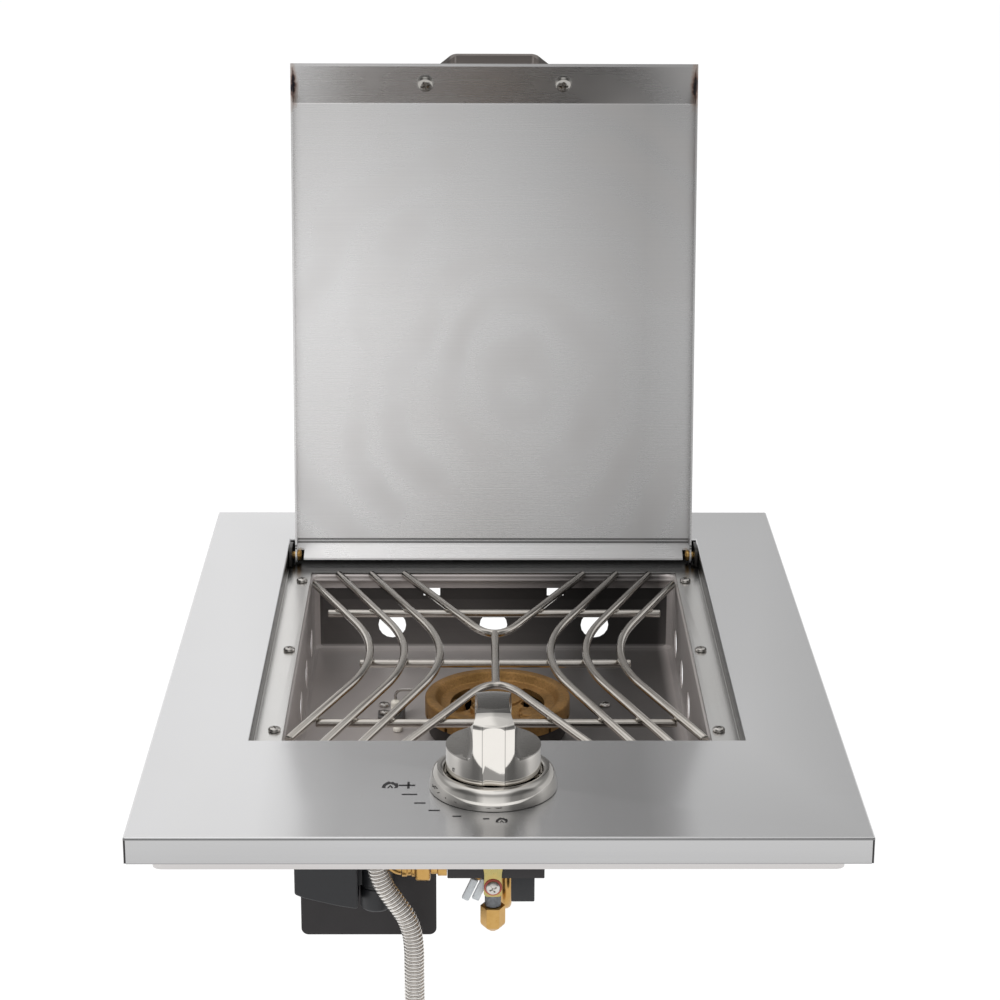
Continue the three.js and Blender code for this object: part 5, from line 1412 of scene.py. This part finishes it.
def makeLid():
    half, inner = lidPan["half"], lidPan["half"] - lidPan["sheet"]
    lid = alongLid("lidFolded", lidPan["outside"], half)
    softenEdges(lid, 0.5, 3, 50)
    cutWith(lid, alongLid("insideTool", lidPan["inside"], inner))
    tools = []
    for side in (-1, 1):
        hole = roundTool(handle["hole"], -6, 6, (side * handle["screw"], lidPlaces["raise"], 0))
        hole.data.transform(stripPlace)
        tools.append(hole)
    reach, near, far, low, high = lidPan["notch"]
    for side in (-1, 1):
        turns = [("Y", 90 * side)]
        cutWith(lid, roundTool(lidPan["ear"], inner, half, turns=turns, sides=48), how="UNION")
        ends = sorted((side * (inner - 0.05), side * (inner - reach)))
        tools.append(boxPiece("notchTool", (ends[0], near, low), (ends[1], far, high), edge=0))
        tools.append(roundTool(lidPan["eye"], inner - 1, half + 4, turns=turns, sides=40))
    cutWith(lid, *tools)
    smooth(lid, 30)
    lid.data.transform(hingePlace)
    return lid


makeScrews()
finishPiece(makeHandle(), handleSteel, "lid_handle", body="lid_body")
print("screws and handle made")
finishPiece(makeGrate(), wireSteel, "cooking_grate")
finishPiece(makeGrateRests(), innerSteel)
print("grate made")
finishPiece(makeBurnerHead(), castBrass, "burner_head")
finishPiece(makeBurnerBowl(), castIron, "burner_bowl")
finishPiece(makeWindowed("mixerTubeDrilled", tube["mixer"]), frameSteel, "mixer_tube")
finishPiece(makeWindowed("airShutterRing", tube["shutter"]), frameSteel, "air_shutter", body="shutter_body")
finishPiece(makeOrifice(), brightBrass, "gas_orifice")
bentPart("supplyTubeBent", "supply_tube", brightBrass, tube["supply"], 1.5, 3.2)
print("burner made")
makeElectrode()
makeHinges()
print("electrode and hinges made")
makeValve()
makeInletRow()
makeIgniter()
print("valve, inlet and igniter made")
makeTopPanel()
makeRecess()
print("top panel folded")
finishPiece(makeLid(), lidSteel, "lid", body="lid_body")
print("lid folded")

# Finishes on the frame's own pieces that stay visible
sheetFinishes = {
    "support_frame": frameSteel, "burner_box": innerSteel, "valve_stem": greyZinc, "valve_plug": brightBrass,
    "heat_plate": blackSteel,
}
for nodeName, finish in sheetFinishes.items():
    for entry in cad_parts[nodeName].material_slots:
        entry.material = finish
print("sheet metal finished")

# Printed ticks and icons round the knob; a tick is (left, right, y)
prints = {
    "thick": 0.1, "gap": 0.02, "tickHalf": 0.62,
    "ticks": [
        (-50.8, -42.6, 52.9), (-44.0, -38.1, 42.1), (-36.4, -30.5, 33), (-23.9, -19.4, 25.8),
        (-8.2, -5.0, 22.8),
    ],
    "cross": (-48.3, 64.4), "crossBars": [(-4.4, -0.75, 4.4, 0.75), (0.15, -4.0, 1.45, 4.4)],
    "flames": [((-57.2, 64.4), 1.0), ((1.3, 20.8), 0.72)],
    "flame": [
        (-4.4, -2.8), (-3.8, 0.8), (-2.4, 3.2), (-0.8, 5.0), (0.2, 3.6), (1.5, 4.4), (2.6, 2.4), (3.8, 2.9),
        (4.4, -0.2), (4.1, -3.0), (2.2, -3.6), (2.8, -1.0), (1.6, 0.8), (0.2, 2.1), (-1.3, 1.0), (-2.4, -0.9),
        (-2.2, -3.6),
    ],
    "core": [(-1.5, -3.4), (0.1, 0.6), (1.7, -3.4), (0.9, -3.5), (0.1, -1.4), (-0.7, -3.5)],
}


def inkShape(outline, where, size=1.0):
    piece = pushedPiece("inkShape", [(x * size, y * size) for x, y in outline], 0, prints["thick"])
    return intoFrame(piece, (*where, prints["gap"] + prints["thick"]), [("X", -90)])


def inkBar(left, low, right, high, where):
    return inkShape([(left, low), (right, low), (right, high), (left, high)], where)


def makePrints():
    half = prints["tickHalf"]
    marks = [inkBar(left, -half, right, half, (0, y)) for left, right, y in prints["ticks"]]
    marks += [inkBar(*bar, prints["cross"]) for bar in prints["crossBars"]]
    for where, size in prints["flames"]:
        marks += [inkShape(prints[kind], where, size) for kind in ("flame", "core")]
    return joined("printedMarks", *marks)


finishPiece(makePrints(), printInk)
print("prints made")

# Studio: floor, white surround and soft lamps, each (name, place, size, power)
studio = {
    "floorDrop": 0.0005, "floorSize": 60, "ground": 0.86, "shadowKept": 0.14, "glow": 1.1, "ambient": 0.55,
    "lamps": [
        ("keyLamp", (-1.1, -0.9, 1.5), (1.1, 1.1), 26), ("fillLamp", (1.5, -0.5, 1.1), (1.2, 1.2), 12),
        ("rearLamp", (0.0, 1.4, 1.6), (1.8, 0.9), 12),
    ],
    "frontRise": [
        (0.0, 0.9), (0.5, 0.90), (0.60, 0.74), (0.70, 0.48), (0.80, 0.40), (0.88, 0.5), (0.93, 1.0),
        (1.0, 1.0),
    ],
    "frontSides": [
        (0.0, 0.75), (0.13, 0.35), (0.24, 0.35), (0.36, 1.0), (0.5, 0.97), (0.64, 0.85), (0.76, 0.32),
        (0.88, 0.32), (1.0, 0.75),
    ],
    "backRise": [(0.0, 0.9), (0.5, 1.0), (0.68, 1.0), (0.74, 0.60), (0.80, 0.60), (0.85, 1.0), (1.0, 1.0)],
    "backSides": [
        (0.0, 0.95), (0.30, 1.0), (0.497, 1.0), (0.508, 0.66), (0.58, 0.54), (0.8, 0.8), (1.0, 1.0),
    ],
    "frontToBack": [(0.42, 0.0), (0.56, 1.0)],
}


def seesBackground(tree):
    rays = nodeOf(tree, "ShaderNodeLightPath").outputs
    seen = mathNode(tree, "MAXIMUM", rays["Is Camera Ray"], rays["Is Transmission Ray"])
    return seen, rays["Is Glossy Ray"]


# Soft white studio walls with darker gaps, so that bare metal has something to show
def makeWorld():
    world = bpy.data.worlds.new("studioWorld")
    bpy.context.scene.world = world
    world.use_nodes = True
    tree = world.node_tree
    seen, glossy = seesBackground(tree)
    facing = nodeOf(tree, "ShaderNodeTexCoord").outputs["Generated"]
    split = nodeOf(tree, "ShaderNodeSeparateXYZ", {0: facing}).outputs
    halves = [mathNode(tree, "MULTIPLY", split[axis], 0.5) for axis in "XYZ"]
    across, along, rise = (mathNode(tree, "ADD", half, 0.5) for half in halves)
    walls = []
    for wall in ("front", "back"):
        height = rampNode(tree, rise, studio[wall + "Rise"])
        width = rampNode(tree, across, studio[wall + "Sides"])
        walls.append(mixColour(tree, 1.0, height, width, "MULTIPLY"))
    reflected = mixColour(tree, rampNode(tree, along, studio["frontToBack"]), *walls)
    colour = mixColour(tree, glossy, (studio["ambient"],) * 3, reflected)
    feed(tree, tree.nodes["Background"].inputs["Color"], mixColour(tree, seen, colour, (1, 1, 1)))
    feed(tree, tree.nodes["Background"].inputs["Strength"], 1.0)


def makeFloor():
    clearAll()
    lowest = cadBox[0][2] - studio["floorDrop"]
    bpy.ops.mesh.primitive_plane_add(size=studio["floorSize"], location=(0, 0, lowest))
    floor = bpy.context.object
    floor.name = "studioFloor"
    material = bpy.data.materials.new("paleFloor")
    material.use_nodes = True
    tree = material.node_tree
    shader = tree.nodes["Principled BSDF"]
    dull = {"Base Color": (studio["ground"],) * 3, "Roughness": 0.9, "Specular IOR Level": 0.0}
    for key, value in dull.items():
        feed(tree, shader.inputs[key], value)
    glow = nodeOf(tree, "ShaderNodeEmission", {"Color": (1, 1, 1), "Strength": studio["glow"]})
    white = mathNode(tree, "MAXIMUM", *seesBackground(tree))
    share = mathNode(tree, "MULTIPLY", white, 1 - studio["shadowKept"])
    blend = nodeOf(tree, "ShaderNodeMixShader", {0: share, 1: shader.outputs[0], 2: glow.outputs[0]})
    feed(tree, tree.nodes["Material Output"].inputs["Surface"], blend.outputs[0])
    floor.data.materials.append(material)


def makeLamps():
    for name, place, size, power in studio["lamps"]:
        bpy.ops.object.light_add(type="AREA", location=place)
        lamp = bpy.context.object
        lamp.name = name
        lamp.data.shape = "RECTANGLE"
        lamp.data.size, lamp.data.size_y = size
        lamp.data.energy = power
        lamp.visible_glossy = False
        lamp.rotation_mode = "QUATERNION"
        lamp.rotation_quaternion = (-Vector(place)).to_track_quat("-Z", "Y")


makeWorld()
makeFloor()
makeLamps()
print("studio made")

clearAll()
